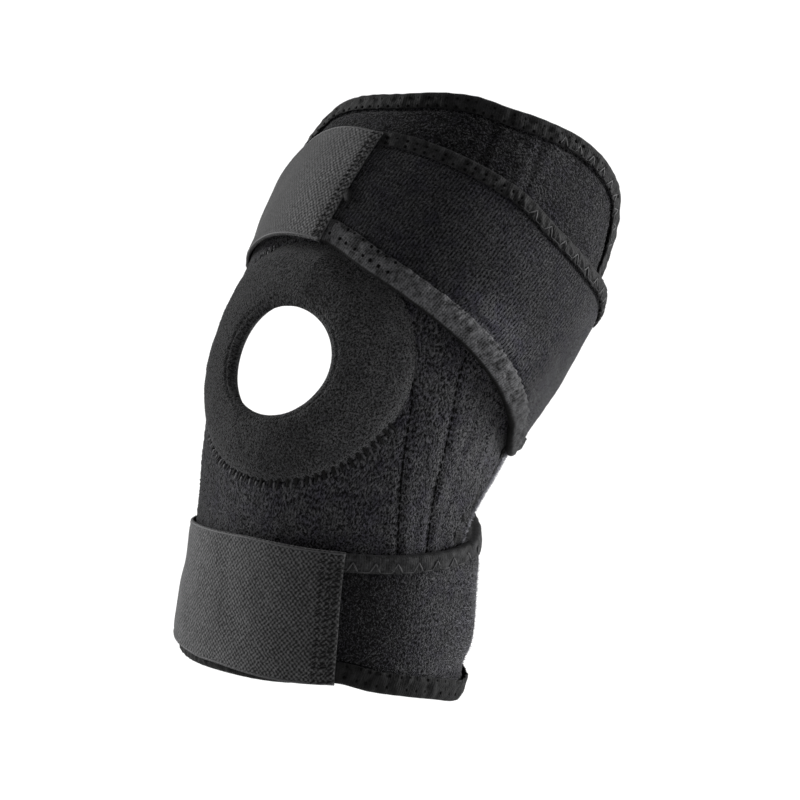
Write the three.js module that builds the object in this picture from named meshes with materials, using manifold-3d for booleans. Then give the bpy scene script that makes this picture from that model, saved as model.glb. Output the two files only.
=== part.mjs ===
// Open-patella knee brace, held in the form it has on a bent leg.
// Millimetres, +Z up. The calf's centre line is upright, the thigh leans back to +Y,
// -Y is the front of the knee, +X is its outer side, and the origin is the middle of
// the knee on the centre line of the space that the leg takes.

import * as THREE from 'three';
import Module from 'manifold-3d';

// Driving sizes of the leg space.
const BEND = 38;
const BEND_RADIUS = 110;
const CALF_REACH = 113;
const THIGH_REACH = 138;
const CALF_WIDTH = 118;
const KNEE_WIDTH = 128;
const THIGH_WIDTH = 143.5;

// Walls, tapes and clearances.
const BODY_WALL = 3.5;
const STRAP_WALL = 3;
const TAB_WALL = 1.5;
const TAPE_WALL = 0.7;
const CLEARANCE = 0.3;
const FOLD_CLEARANCE = 0.4;
const BODY_TAPE_WIDTH = 8;
const STRAP_TOP_TAPE_WIDTH = 6.5;
const STRAP_LOW_TAPE_WIDTH = 9;

// Patella ring, channels and flares.
const RING_WIDTH = 118;
const RING_HEIGHT = 108;
const HOLE_WIDTH = 49;
const HOLE_HEIGHT = 48;
const HOLE_BEVEL = 3;
const RING_PUFF = 4;
const CHANNEL_RISE = 0.8;
const EDGE_FLARE = 2.4;
const SEAM_LAP = 10;
const TAB_DESCENT = 14;
const TAB_HOLD = 3;
const RELIEF_START = 1;
const RELIEF_END = 9;

// Places round the leg, in degrees from the front, the outer side positive.
const SEAM_TURN = -100;
const NOTCH_DEPTH = 16;
const RING_TURN = -9.8;
const HOLE_TURN = -9;
const TAB_END_TURN = -79;

// Cross-sections of the leg space. along is a share of the calf reach below the knee and
// of the thigh reach above it. wide, front and back are shares of half the named width.
const WIDTHS = { calf: CALF_WIDTH, knee: KNEE_WIDTH, thigh: THIGH_WIDTH };
const LEG_SECTIONS = [
  { along: -1.133, zone: 'calf', wide: 1.0, front: 0.873, back: 0.907 },
  { along: -0.841, zone: 'calf', wide: 1.01, front: 0.949, back: 0.924 },
  { along: -0.531, zone: 'calf', wide: 0.998, front: 0.966, back: 0.958 },
  { along: -0.177, zone: 'knee', wide: 0.953, front: 0.898, back: 0.898 },
  { along: 0.0, zone: 'knee', wide: 1.0, front: 0.938, back: 0.914 },
  { along: 0.145, zone: 'knee', wide: 1.047, front: 0.969, back: 0.945 },
  { along: 0.326, zone: 'thigh', wide: 0.979, front: 0.923, back: 0.88 },
  { along: 0.507, zone: 'thigh', wide: 1.0, front: 0.965, back: 0.908 },
  { along: 0.688, zone: 'thigh', wide: 1.0, front: 0.979, back: 0.944 },
  { along: 1.014, zone: 'thigh', wide: 0.972, front: 0.965, back: 0.972 },
];

// Outline of the body panel: turn in degrees, along as above.
const BODY_TOP_EDGE = [
  { turn: SEAM_TURN, along: 0.7 },
  { turn: -76, along: 0.71 },
  { turn: -60, along: 0.74 },
  { turn: -48, along: 0.79 },
  { turn: -35, along: 0.847 },
  { turn: -7, along: 0.867 },
  { turn: 20, along: 0.932 },
  { turn: 42, along: 0.97 },
  { turn: 60, along: 0.985 },
  { turn: 78, along: 0.98 },
  { turn: 91, along: 0.948 },
  { turn: 99.5, along: 0.885 },
  { turn: 103, along: 0.8 },
];
const BODY_OUTER_EDGE = [
  { turn: 103, along: 0.8 },
  { turn: 104, along: 0.62 },
  { turn: 107, along: 0.35 },
  { turn: 112, along: 0.1 },
  { turn: 108, along: -0.08 },
  { turn: 97, along: -0.22 },
  { turn: 88, along: -0.37 },
  { turn: 86, along: -0.76 },
];
const BODY_LOW_EDGE = [
  { turn: SEAM_TURN, along: -1.0 },
  { turn: -60, along: -1.012 },
  { turn: -40, along: -1.003 },
  { turn: -10, along: -0.972 },
  { turn: 15, along: -0.949 },
  { turn: 37, along: -0.915 },
  { turn: 60, along: -0.91 },
  { turn: 75, along: -0.9 },
  { turn: 83, along: -0.86 },
  { turn: 86, along: -0.76 },
];

// Long edges of the straps. The turn runs on from the seam, behind the leg, to the front,
// so a turn of -270 is the outer side and -360 the front.
const UPPER_STRAP_TOP_EDGE = [
  { turn: -100, along: 0.7 },
  { turn: -130, along: 0.7 },
  { turn: -180, along: 0.69 },
  { turn: -230, along: 0.69 },
  { turn: -258, along: 0.69 },
  { turn: -280, along: 0.668 },
  { turn: -296, along: 0.667 },
  { turn: -315, along: 0.693 },
  { turn: -350, along: 0.698 },
  { turn: -370, along: 0.685 },
];
const UPPER_STRAP_LOW_EDGE = [
  { turn: -100, along: 0.43 },
  { turn: -130, along: 0.43 },
  { turn: -152, along: 0.375 },
  { turn: -180, along: 0.27 },
  { turn: -205, along: 0.155 },
  { turn: -228, along: 0.085 },
  { turn: -251, along: 0.062 },
  { turn: -274, along: 0.125 },
  { turn: -289, along: 0.163 },
  { turn: -306, along: 0.199 },
  { turn: -334, along: 0.235 },
  { turn: -350, along: 0.257 },
  { turn: -366, along: 0.3 },
  { turn: -380, along: 0.315 },
];
const LOWER_STRAP_TOP_EDGE = [
  { turn: -100, along: -0.372 },
  { turn: -130, along: -0.336 },
  { turn: -180, along: -0.292 },
  { turn: -230, along: -0.27 },
  { turn: -250, along: -0.28 },
  { turn: -267, along: -0.315 },
  { turn: -280, along: -0.37 },
  { turn: -293, along: -0.389 },
  { turn: -306, along: -0.403 },
  { turn: -325, along: -0.411 },
  { turn: -345, along: -0.418 },
];
const LOWER_STRAP_LOW_EDGE = [
  { turn: -100, along: -1.0 },
  { turn: -130, along: -1.0 },
  { turn: -180, along: -1.0 },
  { turn: -230, along: -1.01 },
  { turn: -252, along: -1.005 },
  { turn: -265, along: -1.0 },
  { turn: -280, along: -0.97 },
  { turn: -296, along: -0.943 },
  { turn: -309, along: -0.926 },
  { turn: -323, along: -0.902 },
  { turn: -345, along: -0.908 },
];

// How the straps lie. over is 0 on the leg and 1 on the body panel, and the other columns
// are shares of the edge flare.
const UPPER_STRAP_LIE = [
  { turn: -100, over: 0, low: 0, middle: 0, top: 0 },
  { turn: -205, over: 0, low: 0, middle: 0, top: 0 },
  { turn: -228, over: 0.4, low: 0, middle: 0, top: 0 },
  { turn: -244, over: 1, low: 0.05, middle: 0, top: 0 },
  { turn: -262, over: 1, low: 0.35, middle: 0.1, top: 0.1 },
  { turn: -275, over: 1, low: 0.9, middle: 0.3, top: 0.1 },
  { turn: -290, over: 1, low: 0.7, middle: 0.3, top: 0 },
  { turn: -305, over: 1, low: 0.35, middle: 0.15, top: 0 },
  { turn: -330, over: 1, low: 0.05, middle: 0, top: 0 },
  { turn: -380, over: 1, low: 0, middle: 0, top: 0 },
];
const LOWER_STRAP_LIE = [
  { turn: -100, over: 0, low: 0, middle: 0, top: 0 },
  { turn: -225, over: 0, low: 0, middle: 0, top: 0 },
  { turn: -245, over: 0.25, low: 1, middle: 1, top: 0 },
  { turn: -258, over: 0.75, low: 1.1, middle: 1, top: 0 },
  { turn: -267, over: 1, low: 1, middle: 0.7, top: 0.1 },
  { turn: -285, over: 1, low: 0.5, middle: 0.2, top: 0.2 },
  { turn: -305, over: 1, low: 0.2, middle: 0.1, top: 0.1 },
  { turn: -345, over: 1, low: 0, middle: 0, top: 0 },
];

// Hook tabs. The far end is round, and the seam is the edge that is sewn to the strap.
const UPPER_TAB_TOP_EDGE = [
  { turn: -79, along: 0.63 },
  { turn: -60, along: 0.66 },
  { turn: -48, along: 0.675 },
  { turn: -40, along: 0.69 },
  { turn: -28, along: 0.712 },
  { turn: -18, along: 0.717 },
  { turn: -3, along: 0.706 },
];
const UPPER_TAB_LOW_EDGE = [
  { turn: -79, along: 0.33 },
  { turn: -60, along: 0.31 },
  { turn: -50, along: 0.3 },
  { turn: -30, along: 0.295 },
  { turn: -8, along: 0.28 },
  { turn: -5, along: 0.275 },
];
const LOWER_TAB_TOP_EDGE = [
  { turn: -79, along: -0.52 },
  { turn: -60, along: -0.5 },
  { turn: -41, along: -0.475 },
  { turn: -16, along: -0.438 },
  { turn: -2, along: -0.416 },
  { turn: 18, along: -0.398 },
  { turn: 35, along: -0.389 },
];
const LOWER_TAB_LOW_EDGE = [
  { turn: -79, along: -0.95 },
  { turn: -60, along: -0.972 },
  { turn: -40, along: -0.977 },
  { turn: -28, along: -0.976 },
  { turn: -11, along: -0.96 },
  { turn: 9, along: -0.947 },
  { turn: 37, along: -0.924 },
];
const UPPER_TAB_SEAM = { low: -5.5, top: -1 };
const LOWER_TAB_SEAM = { low: 36.5, top: 34.5 };

// Stay channels: their middle line and half width in degrees, and the shares of the
// reaches at which they end.
const STAY_CHANNELS = [
  { low: 66, knee: 55, top: 40, half: 9, lowEnd: -0.84, topEnd: 0.88 },
  { low: -70, knee: -72, top: -70, half: 7, lowEnd: -0.84, topEnd: 0.6 },
];

const RADIANS = Math.PI / 180;
const FOLD = FOLD_CLEARANCE + TAPE_WALL;
const OVER_TAPE = FOLD + CLEARANCE;
const STRAP_OVER_BODY = BODY_WALL + OVER_TAPE + FOLD;
const STRAP_BACK_TURN = 360;

const wasm = await Module();
wasm.setup();

// A smooth curve through a table's rows: a column's value where another column has a value.
function smooth(table, by, column, value) {
  const rows = table[0][by] < table[table.length - 1][by] ? table : [...table].reverse();
  const last = rows.length - 1;
  let i = 0;
  while (i < last - 1 && value > rows[i + 1][by]) {
    i += 1;
  }
  const slope = (k) => (rows[k + 1][column] - rows[k][column]) / (rows[k + 1][by] - rows[k][by]);
  const tangent = (k) => {
    if (k === 0 || k === last) {
      return slope(Math.min(k, last - 1));
    }
    const before = slope(k - 1);
    const after = slope(k);
    return before * after <= 0 ? 0 : 2 * before * after / (before + after);
  };
  const span = rows[i + 1][by] - rows[i][by];
  const x = THREE.MathUtils.clamp((value - rows[i][by]) / span, 0, 1);
  const x2 = x * x;
  const x3 = x2 * x;
  return (2 * x3 - 3 * x2 + 1) * rows[i][column] + (x3 - 2 * x2 + x) * span * tangent(i)
    + (3 * x2 - 2 * x3) * rows[i + 1][column] + (x3 - x2) * span * tangent(i + 1);
}

// Distance along the centre line for a share of the calf's or the thigh's reach.
function reach(share) {
  return share * (share < 0 ? CALF_REACH : THIGH_REACH);
}

const LEG_ROWS = LEG_SECTIONS.map((row) => {
  const half = WIDTHS[row.zone] / 2;
  return { along: reach(row.along), wide: row.wide * half, front: row.front * half, back: row.back * half };
});

function section(along) {
  return {
    wide: smooth(LEG_ROWS, 'along', 'wide', along),
    front: smooth(LEG_ROWS, 'along', 'front', along),
    back: smooth(LEG_ROWS, 'along', 'back', along),
  };
}

// The point at a turn round the leg, a distance along it and a lift off its surface.
function legPoint(turn, along, lift) {
  const { wide, front, back } = section(along);
  const angle = turn * RADIANS;
  const bend = BEND * RADIANS;
  const halfArc = BEND_RADIUS * bend / 2;
  const lean = THREE.MathUtils.clamp((along + halfArc) / BEND_RADIUS, 0, bend);
  const past = along + halfArc - BEND_RADIUS * lean;
  const centreY = BEND_RADIUS * (Math.cos(bend / 2) - Math.cos(lean)) + past * Math.sin(lean);
  const centreZ = BEND_RADIUS * (Math.sin(lean) - Math.sin(bend / 2)) + past * Math.cos(lean);
  const depth = (Math.cos(angle) > 0 ? front : back) + lift;
  const across = -depth * Math.cos(angle);
  return new THREE.Vector3(
    (wide + lift) * Math.sin(angle),
    centreY + across * Math.cos(lean),
    centreZ - across * Math.sin(lean),
  );
}

// Millimetres on the surface for one degree of turn and for one millimetre along.
function surfaceScale({ turn, along }) {
  const step = 0.5;
  const here = legPoint(turn, along, 0);
  return {
    turn: legPoint(turn + step, along, 0).distanceTo(here) / step,
    along: legPoint(turn, along + step, 0).distanceTo(here) / step,
  };
}

// The place reached by walking a distance on the surface in a unit direction.
function walk(place, direction, distance) {
  const steps = 6;
  let { turn, along } = place;
  for (let i = 0; i < steps; i += 1) {
    const scale = surfaceScale({ turn, along });
    turn += direction.turn * distance / steps / scale.turn;
    along += direction.along * distance / steps / scale.along;
  }
  return { turn, along };
}

// Closed solids from points and triangles, with the faces turned outward.
function closedGeometry(points, triangles) {
  let volume = 0;
  for (const [a, b, c] of triangles) {
    volume += points[a].dot(points[b].clone().cross(points[c]));
  }
  const index = volume > 0 ? triangles.flat() : triangles.flatMap(([a, b, c]) => [a, c, b]);
  const geometry = new THREE.BufferGeometry();
  geometry.setFromPoints(points);
  geometry.setIndex(index);
  return geometry;
}

// A wall between an outer and an inner grid of points.
function wallGeometry(columns, rows, outerAt, innerAt) {
  const points = [];
  for (const at of [outerAt, innerAt]) {
    for (let i = 0; i <= columns; i += 1) {
      for (let j = 0; j <= rows; j += 1) {
        points.push(at(i / columns, j / rows));
      }
    }
  }
  const side = (columns + 1) * (rows + 1);
  const at = (i, j) => i * (rows + 1) + j;
  const triangles = [];
  const quad = (a, b, c, d) => triangles.push([a, b, c], [a, c, d]);
  for (let i = 0; i < columns; i += 1) {
    for (let j = 0; j < rows; j += 1) {
      quad(at(i, j), at(i + 1, j), at(i + 1, j + 1), at(i, j + 1));
      quad(side + at(i, j), side + at(i, j + 1), side + at(i + 1, j + 1), side + at(i + 1, j));
    }
  }
  for (let i = 0; i < columns; i += 1) {
    quad(at(i + 1, 0), at(i, 0), side + at(i, 0), side + at(i + 1, 0));
    quad(at(i, rows), at(i + 1, rows), side + at(i + 1, rows), side + at(i, rows));
  }
  for (let j = 0; j < rows; j += 1) {
    quad(at(0, j), at(0, j + 1), side + at(0, j + 1), side + at(0, j));
    quad(at(columns, j + 1), at(columns, j), side + at(columns, j), side + at(columns, j + 1));
  }
  return closedGeometry(points, triangles);
}

// A solid through a row of closed loops. A ring's last loop meets its first one.
function loftGeometry(loops, isRing, capShape) {
  const points = loops.flat();
  const size = loops[0].length;
  const triangles = [];
  const count = isRing ? loops.length : loops.length - 1;
  for (let i = 0; i < count; i += 1) {
    const here = i * size;
    const next = ((i + 1) % loops.length) * size;
    for (let j = 0; j < size; j += 1) {
      const k = (j + 1) % size;
      triangles.push([here + j, next + j, next + k], [here + j, next + k, here + k]);
    }
  }
  if (!isRing) {
    const last = (loops.length - 1) * size;
    const isForward = THREE.ShapeUtils.area(capShape) > 0;
    for (const [a, b, c] of THREE.ShapeUtils.triangulateShape(capShape, [])) {
      const [p, q] = isForward ? [b, c] : [c, b];
      triangles.push([a, p, q], [last + a, last + q, last + p]);
    }
  }
  return closedGeometry(points, triangles);
}

// The direction that leads into the cloth at each point of its edge, square to the edge.
// The first and last ones are square to the leg.
function inwardDirections(edge, side) {
  return edge.map((point, i) => {
    const before = edge[Math.max(i - 1, 0)];
    const after = edge[Math.min(i + 1, edge.length - 1)];
    const isEnd = before === point || after === point;
    const scale = surfaceScale(point);
    const run = (after.turn - before.turn) * scale.turn;
    const rise = isEnd ? 0 : (after.along - before.along) * scale.along;
    const length = Math.hypot(run, rise);
    return { turn: -side * rise / length, along: side * run / length };
  });
}

// The tape folded over an edge. side is 1 where the cloth is to the left of the way the
// edge runs, seen from outside with the turn to the right, and -1 where it is to the right.
function tapeGeometry(edge, side, width, cloth) {
  const profile = [
    { inset: width, face: 'outer', off: FOLD_CLEARANCE },
    { inset: width, face: 'outer', off: FOLD },
    { inset: -FOLD, face: 'outer', off: FOLD },
    { inset: -FOLD, face: 'inner', off: -FOLD },
    { inset: width, face: 'inner', off: -FOLD },
    { inset: width, face: 'inner', off: -FOLD_CLEARANCE },
    { inset: -FOLD_CLEARANCE, face: 'inner', off: -FOLD_CLEARANCE },
    { inset: -FOLD_CLEARANCE, face: 'outer', off: FOLD_CLEARANCE },
  ];
  const inward = inwardDirections(edge, side);
  const loops = edge.map((point, i) => profile.map(({ inset, face, off }) => {
    const { turn, along } = walk(point, inward[i], inset);
    return legPoint(turn, along, cloth[face](turn, along) + off);
  }));
  const wall = cloth.outer(edge[0].turn, edge[0].along) - cloth.inner(edge[0].turn, edge[0].along);
  const cap = profile.map(({ inset, face, off }) => new THREE.Vector2(
    inset, (face === 'outer' ? wall : 0) + off,
  ));
  return loftGeometry(loops, false, cap);
}

// An edge of the body panel as a curve through its table.
function edgeCurve(table) {
  const arc = KNEE_WIDTH / 2 * RADIANS;
  const points = table.map((row) => new THREE.Vector3(row.turn * arc, reach(row.along), 0));
  const curve = new THREE.CatmullRomCurve3(points, false, 'centripetal');
  return (share) => {
    const point = curve.getPointAt(THREE.MathUtils.clamp(share, 0, 1));
    return { turn: point.x / arc, along: point.y };
  };
}

// Places on the body panel, as a patch between its four edges.
const BODY_COLUMNS = 30;
const SEAM_ROWS = { lower: 6, notch: 11, upper: 3 };
const BODY_ROWS = SEAM_ROWS.lower + SEAM_ROWS.notch + SEAM_ROWS.upper;
const topEdge = edgeCurve(BODY_TOP_EDGE);
const outerEdge = edgeCurve(BODY_OUTER_EDGE);
const lowEdge = edgeCurve(BODY_LOW_EDGE);
const NOTCH_LOW = reach(LOWER_STRAP_TOP_EDGE[0].along);
const NOTCH_TOP = reach(UPPER_STRAP_LOW_EDGE[0].along);

function innerEdge(share) {
  const row = share * BODY_ROWS;
  const bottom = reach(BODY_LOW_EDGE[0].along);
  const top = reach(BODY_TOP_EDGE[0].along);
  if (row <= SEAM_ROWS.lower) {
    return { turn: SEAM_TURN, along: THREE.MathUtils.lerp(bottom, NOTCH_LOW, row / SEAM_ROWS.lower) };
  }
  if (row >= SEAM_ROWS.lower + SEAM_ROWS.notch) {
    const past = (row - SEAM_ROWS.lower - SEAM_ROWS.notch) / SEAM_ROWS.upper;
    return { turn: SEAM_TURN, along: THREE.MathUtils.lerp(NOTCH_TOP, top, past) };
  }
  const swing = Math.PI * (row - SEAM_ROWS.lower) / SEAM_ROWS.notch;
  return {
    turn: SEAM_TURN + NOTCH_DEPTH * Math.sin(swing),
    along: THREE.MathUtils.lerp(NOTCH_LOW, NOTCH_TOP, (1 - Math.cos(swing)) / 2),
  };
}

function bodyPlace(across, up) {
  const low = lowEdge(across);
  const top = topEdge(across);
  const inner = innerEdge(up);
  const outer = outerEdge(1 - up);
  const corners = [lowEdge(0), lowEdge(1), topEdge(0), topEdge(1)];
  const blend = (key) => (1 - up) * low[key] + up * top[key]
    + (1 - across) * inner[key] + across * outer[key]
    - (1 - across) * (1 - up) * corners[0][key] - across * (1 - up) * corners[1][key]
    - (1 - across) * up * corners[2][key] - across * up * corners[3][key];
  return { turn: blend('turn'), along: blend('along') };
}

// The panel's outer face, with the soft rise of its stay channels.
function bodyFace(turn, along) {
  let rise = 0;
  const share = along / (along < 0 ? CALF_REACH : THIGH_REACH);
  for (const channel of STAY_CHANNELS) {
    const middle = THREE.MathUtils.lerp(channel.knee, share < 0 ? channel.low : channel.top, Math.abs(share));
    const off = (turn - middle) / channel.half;
    const fade = THREE.MathUtils.smoothstep(share, channel.lowEnd, channel.lowEnd + 0.1)
      * (1 - THREE.MathUtils.smoothstep(share, channel.topEnd - 0.1, channel.topEnd));
    rise += CHANNEL_RISE * fade * Math.exp(-2 * off * off);
  }
  return BODY_WALL + rise;
}

// Places on the patella ring, by its own round and radial shares.
const KNEE_ARC = KNEE_WIDTH / 2 * RADIANS;
const FRONT_STRETCH = 1 + section(0).front / BEND_RADIUS;
const RING_ALONG = 7;
const HOLE_ALONG = 6;
const RING_SIDES = 36;

function ringPlace(angle, inward, grow) {
  const hole = {
    turn: HOLE_TURN + HOLE_WIDTH / 2 * Math.cos(angle) / KNEE_ARC,
    along: HOLE_ALONG + HOLE_HEIGHT / 2 * Math.sin(angle) / FRONT_STRETCH,
  };
  const rim = {
    turn: RING_TURN + (RING_WIDTH / 2 + grow) * Math.cos(angle) / KNEE_ARC,
    along: RING_ALONG + (RING_HEIGHT / 2 + grow) * Math.sin(angle) / FRONT_STRETCH,
  };
  return {
    turn: THREE.MathUtils.lerp(rim.turn, hole.turn, inward),
    along: THREE.MathUtils.lerp(rim.along, hole.along, inward),
  };
}

function asManifold(geometry) {
  return new wasm.Manifold(new wasm.Mesh({
    numProp: 3,
    vertProperties: new Float32Array(geometry.getAttribute('position').array),
    triVerts: new Uint32Array(geometry.getIndex().array),
  }));
}

function fromManifold(solid) {
  const { vertProperties, triVerts } = solid.getMesh();
  const geometry = new THREE.BufferGeometry();
  geometry.setAttribute('position', new THREE.BufferAttribute(new Float32Array(vertProperties), 3));
  geometry.setIndex([...triVerts]);
  return geometry;
}

// The plug that cuts the ring's place out of the body panel.
function ringPlug() {
  const bottom = -2 * BODY_WALL;
  const top = RING_WIDTH / 5;
  const profile = [
    { share: 1 / 3, lift: top },
    { share: 2 / 3, lift: top },
    { share: 1, lift: top },
    { share: 1, lift: BODY_WALL },
    { share: 1, lift: 0 },
    { share: 1, lift: bottom },
    { share: 2 / 3, lift: bottom },
    { share: 1 / 3, lift: bottom },
  ];
  const points = [];
  for (let side = 0; side < RING_SIDES; side += 1) {
    for (const { share, lift } of profile) {
      const rim = ringPlace(2 * Math.PI * side / RING_SIDES, 0, CLEARANCE);
      const turn = THREE.MathUtils.lerp(RING_TURN, rim.turn, share);
      const along = THREE.MathUtils.lerp(RING_ALONG, rim.along, share);
      points.push(legPoint(turn, along, lift));
    }
  }
  const topCentre = points.push(legPoint(RING_TURN, RING_ALONG, top)) - 1;
  const bottomCentre = points.push(legPoint(RING_TURN, RING_ALONG, bottom)) - 1;
  const triangles = [];
  const last = profile.length - 1;
  for (let side = 0; side < RING_SIDES; side += 1) {
    const here = side * profile.length;
    const next = ((side + 1) % RING_SIDES) * profile.length;
    for (let j = 0; j < last; j += 1) {
      triangles.push([here + j, next + j, next + j + 1], [here + j, next + j + 1, here + j + 1]);
    }
    triangles.push([topCentre, next, here], [bottomCentre, here + last, next + last]);
  }
  return closedGeometry(points, triangles);
}

function bodyPanel() {
  const outerAt = (across, up) => {
    const { turn, along } = bodyPlace(across, up);
    return legPoint(turn, along, bodyFace(turn, along));
  };
  const innerAt = (across, up) => {
    const { turn, along } = bodyPlace(across, up);
    return legPoint(turn, along, 0);
  };
  const panel = asManifold(wallGeometry(BODY_COLUMNS, BODY_ROWS, outerAt, innerAt));
  return fromManifold(panel.subtract(asManifold(ringPlug())));
}

const BODY_CLOTH = { outer: bodyFace, inner: () => 0 };

function bodyEdgeBinding() {
  const edge = [];
  for (let i = 0; i <= BODY_COLUMNS; i += 1) {
    edge.push(bodyPlace(i / BODY_COLUMNS, 1));
  }
  for (let j = BODY_ROWS - 1; j > 0; j -= 1) {
    edge.push(bodyPlace(1, j / BODY_ROWS));
  }
  for (let i = BODY_COLUMNS; i >= 0; i -= 1) {
    edge.push(bodyPlace(i / BODY_COLUMNS, 0));
  }
  return tapeGeometry(edge, -1, BODY_TAPE_WIDTH, BODY_CLOTH);
}

function bodyNotchBinding() {
  const edge = [];
  for (let j = SEAM_ROWS.lower; j <= SEAM_ROWS.lower + SEAM_ROWS.notch; j += 1) {
    edge.push(bodyPlace(0, j / BODY_ROWS));
  }
  return tapeGeometry(edge, -1, BODY_TAPE_WIDTH, BODY_CLOTH);
}

// The ring's pad is low under the strap that crosses it.
function ringRelief(turn, along) {
  const cover = reach(smooth(UPPER_STRAP_LOW_EDGE, 'turn', 'along', turn - STRAP_BACK_TURN));
  const edge = turn < UPPER_TAB_SEAM.low ? reach(UPPER_TAB_LOW_EDGE[3].along) : cover;
  return THREE.MathUtils.smoothstep(edge - along, RELIEF_START, RELIEF_END);
}

function patellaRing() {
  const bevel = 2 * HOLE_BEVEL / (RING_WIDTH - HOLE_WIDTH);
  const profile = [
    { inward: 0, rise: 0, isOuter: true },
    { inward: 0.12, rise: 0.62, isOuter: true },
    { inward: 0.35, rise: 0.93, isOuter: true },
    { inward: 0.6, rise: 1, isOuter: true },
    { inward: 0.85, rise: 0.87, isOuter: true },
    { inward: 0.97, rise: 0.4, isOuter: true },
    { inward: 1, rise: 0, isOuter: true },
    { inward: 1 - bevel, rise: 0, isOuter: false },
    { inward: 0.5, rise: 0, isOuter: false },
    { inward: 0, rise: 0, isOuter: false },
  ];
  const loops = [];
  for (let side = 0; side < RING_SIDES; side += 1) {
    const angle = 2 * Math.PI * side / RING_SIDES;
    loops.push(profile.map(({ inward, rise, isOuter }) => {
      const { turn, along } = ringPlace(angle, inward, 0);
      const top = BODY_WALL + RING_PUFF * rise * ringRelief(turn, along);
      return legPoint(turn, along, isOuter ? top : 0);
    }));
  }
  return loftGeometry(loops, true, []);
}

// A strap: its two long edges, how it lies, and where it ends under its tab.
function makeStrap(topTable, lowTable, lieTable, seam) {
  const start = SEAM_TURN - CLEARANCE / KNEE_ARC;
  const lap = SEAM_LAP / KNEE_ARC;
  const endTurn = (up) => THREE.MathUtils.lerp(seam.low, seam.top, up) - lap - STRAP_BACK_TURN;
  const lowAt = (turn) => reach(smooth(lowTable, 'turn', 'along', turn));
  const topAt = (turn) => reach(smooth(topTable, 'turn', 'along', turn));
  const place = (forward, up) => {
    const turn = THREE.MathUtils.lerp(start, endTurn(up), forward);
    return { turn, along: THREE.MathUtils.lerp(lowAt(turn), topAt(turn), up) };
  };
  const inner = (turn, along) => {
    const value = (column) => smooth(lieTable, 'turn', column, turn);
    const up = THREE.MathUtils.clamp(THREE.MathUtils.inverseLerp(lowAt(turn), topAt(turn), along), 0, 1);
    const flare = value('low') * (1 - up) ** 2 + value('middle') * 4 * up * (1 - up) + value('top') * up ** 2;
    return value('over') * STRAP_OVER_BODY + flare * EDGE_FLARE;
  };
  const outer = (turn, along) => inner(turn, along) + STRAP_WALL;
  return { place, inner, outer };
}

const STRAP_COLUMNS = 40;
const STRAP_ROWS = 6;
const upperStrap = makeStrap(UPPER_STRAP_TOP_EDGE, UPPER_STRAP_LOW_EDGE, UPPER_STRAP_LIE, UPPER_TAB_SEAM);
const lowerStrap = makeStrap(LOWER_STRAP_TOP_EDGE, LOWER_STRAP_LOW_EDGE, LOWER_STRAP_LIE, LOWER_TAB_SEAM);

// The wall's first and last rows lie under the inner edges of the tapes.
function strapWall(strap) {
  const at = (face) => (forward, share) => {
    const low = strap.place(forward, 0);
    const top = strap.place(forward, 1);
    const width = legPoint(low.turn, low.along, 0).distanceTo(legPoint(top.turn, top.along, 0));
    const lowRow = STRAP_LOW_TAPE_WIDTH / width;
    const topRow = 1 - STRAP_TOP_TAPE_WIDTH / width;
    const row = (share * STRAP_ROWS - 1) / (STRAP_ROWS - 2);
    const isEdge = share === 0 || share === 1;
    const { turn, along } = strap.place(forward, isEdge ? share : THREE.MathUtils.lerp(lowRow, topRow, row));
    return legPoint(turn, along, face(turn, along));
  };
  return wallGeometry(STRAP_COLUMNS, STRAP_ROWS, at(strap.outer), at(strap.inner));
}

function strapBinding(strap, up, width) {
  const edge = [];
  for (let i = 0; i <= STRAP_COLUMNS; i += 1) {
    edge.push(strap.place(i / STRAP_COLUMNS, up));
  }
  return tapeGeometry(edge, up === 1 ? 1 : -1, width, strap);
}

// A tab: sewn over its strap's end, it comes down to the body panel and ends round.
function hookTab(topTable, lowTable, seam) {
  const columns = 18;
  const lapColumns = 3;
  const rows = 6;
  const lap = SEAM_LAP + TAB_HOLD;
  const onStrap = STRAP_OVER_BODY + STRAP_WALL + OVER_TAPE;
  const place = (share, up) => {
    const seamTurn = THREE.MathUtils.lerp(seam.low, seam.top, up);
    const lapShare = lap / KNEE_ARC / (seamTurn - TAB_END_TURN);
    const column = share * columns;
    const forward = column <= lapColumns ? lapShare * column / lapColumns
      : THREE.MathUtils.mapLinear(column, lapColumns, columns, lapShare, 1);
    const turn = THREE.MathUtils.lerp(seamTurn, TAB_END_TURN, forward);
    const round = 1 - Math.max(0, (forward - 0.86) / 0.14) ** 2;
    const squeeze = THREE.MathUtils.lerp(0.55, 1, Math.sqrt(Math.max(round, 0)));
    const low = reach(smooth(lowTable, 'turn', 'along', turn));
    const top = reach(smooth(topTable, 'turn', 'along', turn));
    const middle = (low + top) / 2;
    const seat = THREE.MathUtils.smoothstep((seamTurn - turn) * KNEE_ARC - lap, 0, TAB_DESCENT);
    const along = middle + (up - 0.5) * (top - low) * squeeze;
    const onBody = bodyFace(turn, along) + OVER_TAPE;
    return { turn, along, lift: THREE.MathUtils.lerp(onStrap, onBody, seat) };
  };
  const face = (wall) => (forward, up) => {
    const { turn, along, lift } = place(forward, up);
    return legPoint(turn, along, lift + wall);
  };
  return wallGeometry(columns, rows, face(TAB_WALL), face(0));
}

const brace = new THREE.Group();

function addPiece(name, geometry, color, roughness) {
  const material = new THREE.MeshStandardMaterial({ color, roughness, metalness: 0 });
  const mesh = new THREE.Mesh(geometry, material);
  mesh.name = name;
  brace.add(mesh);
}

const PILE = 0x232326;
const KNIT = 0x1d1d20;
const TAPE = 0x17171a;
const HOOK = 0x4a4a4d;

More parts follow.
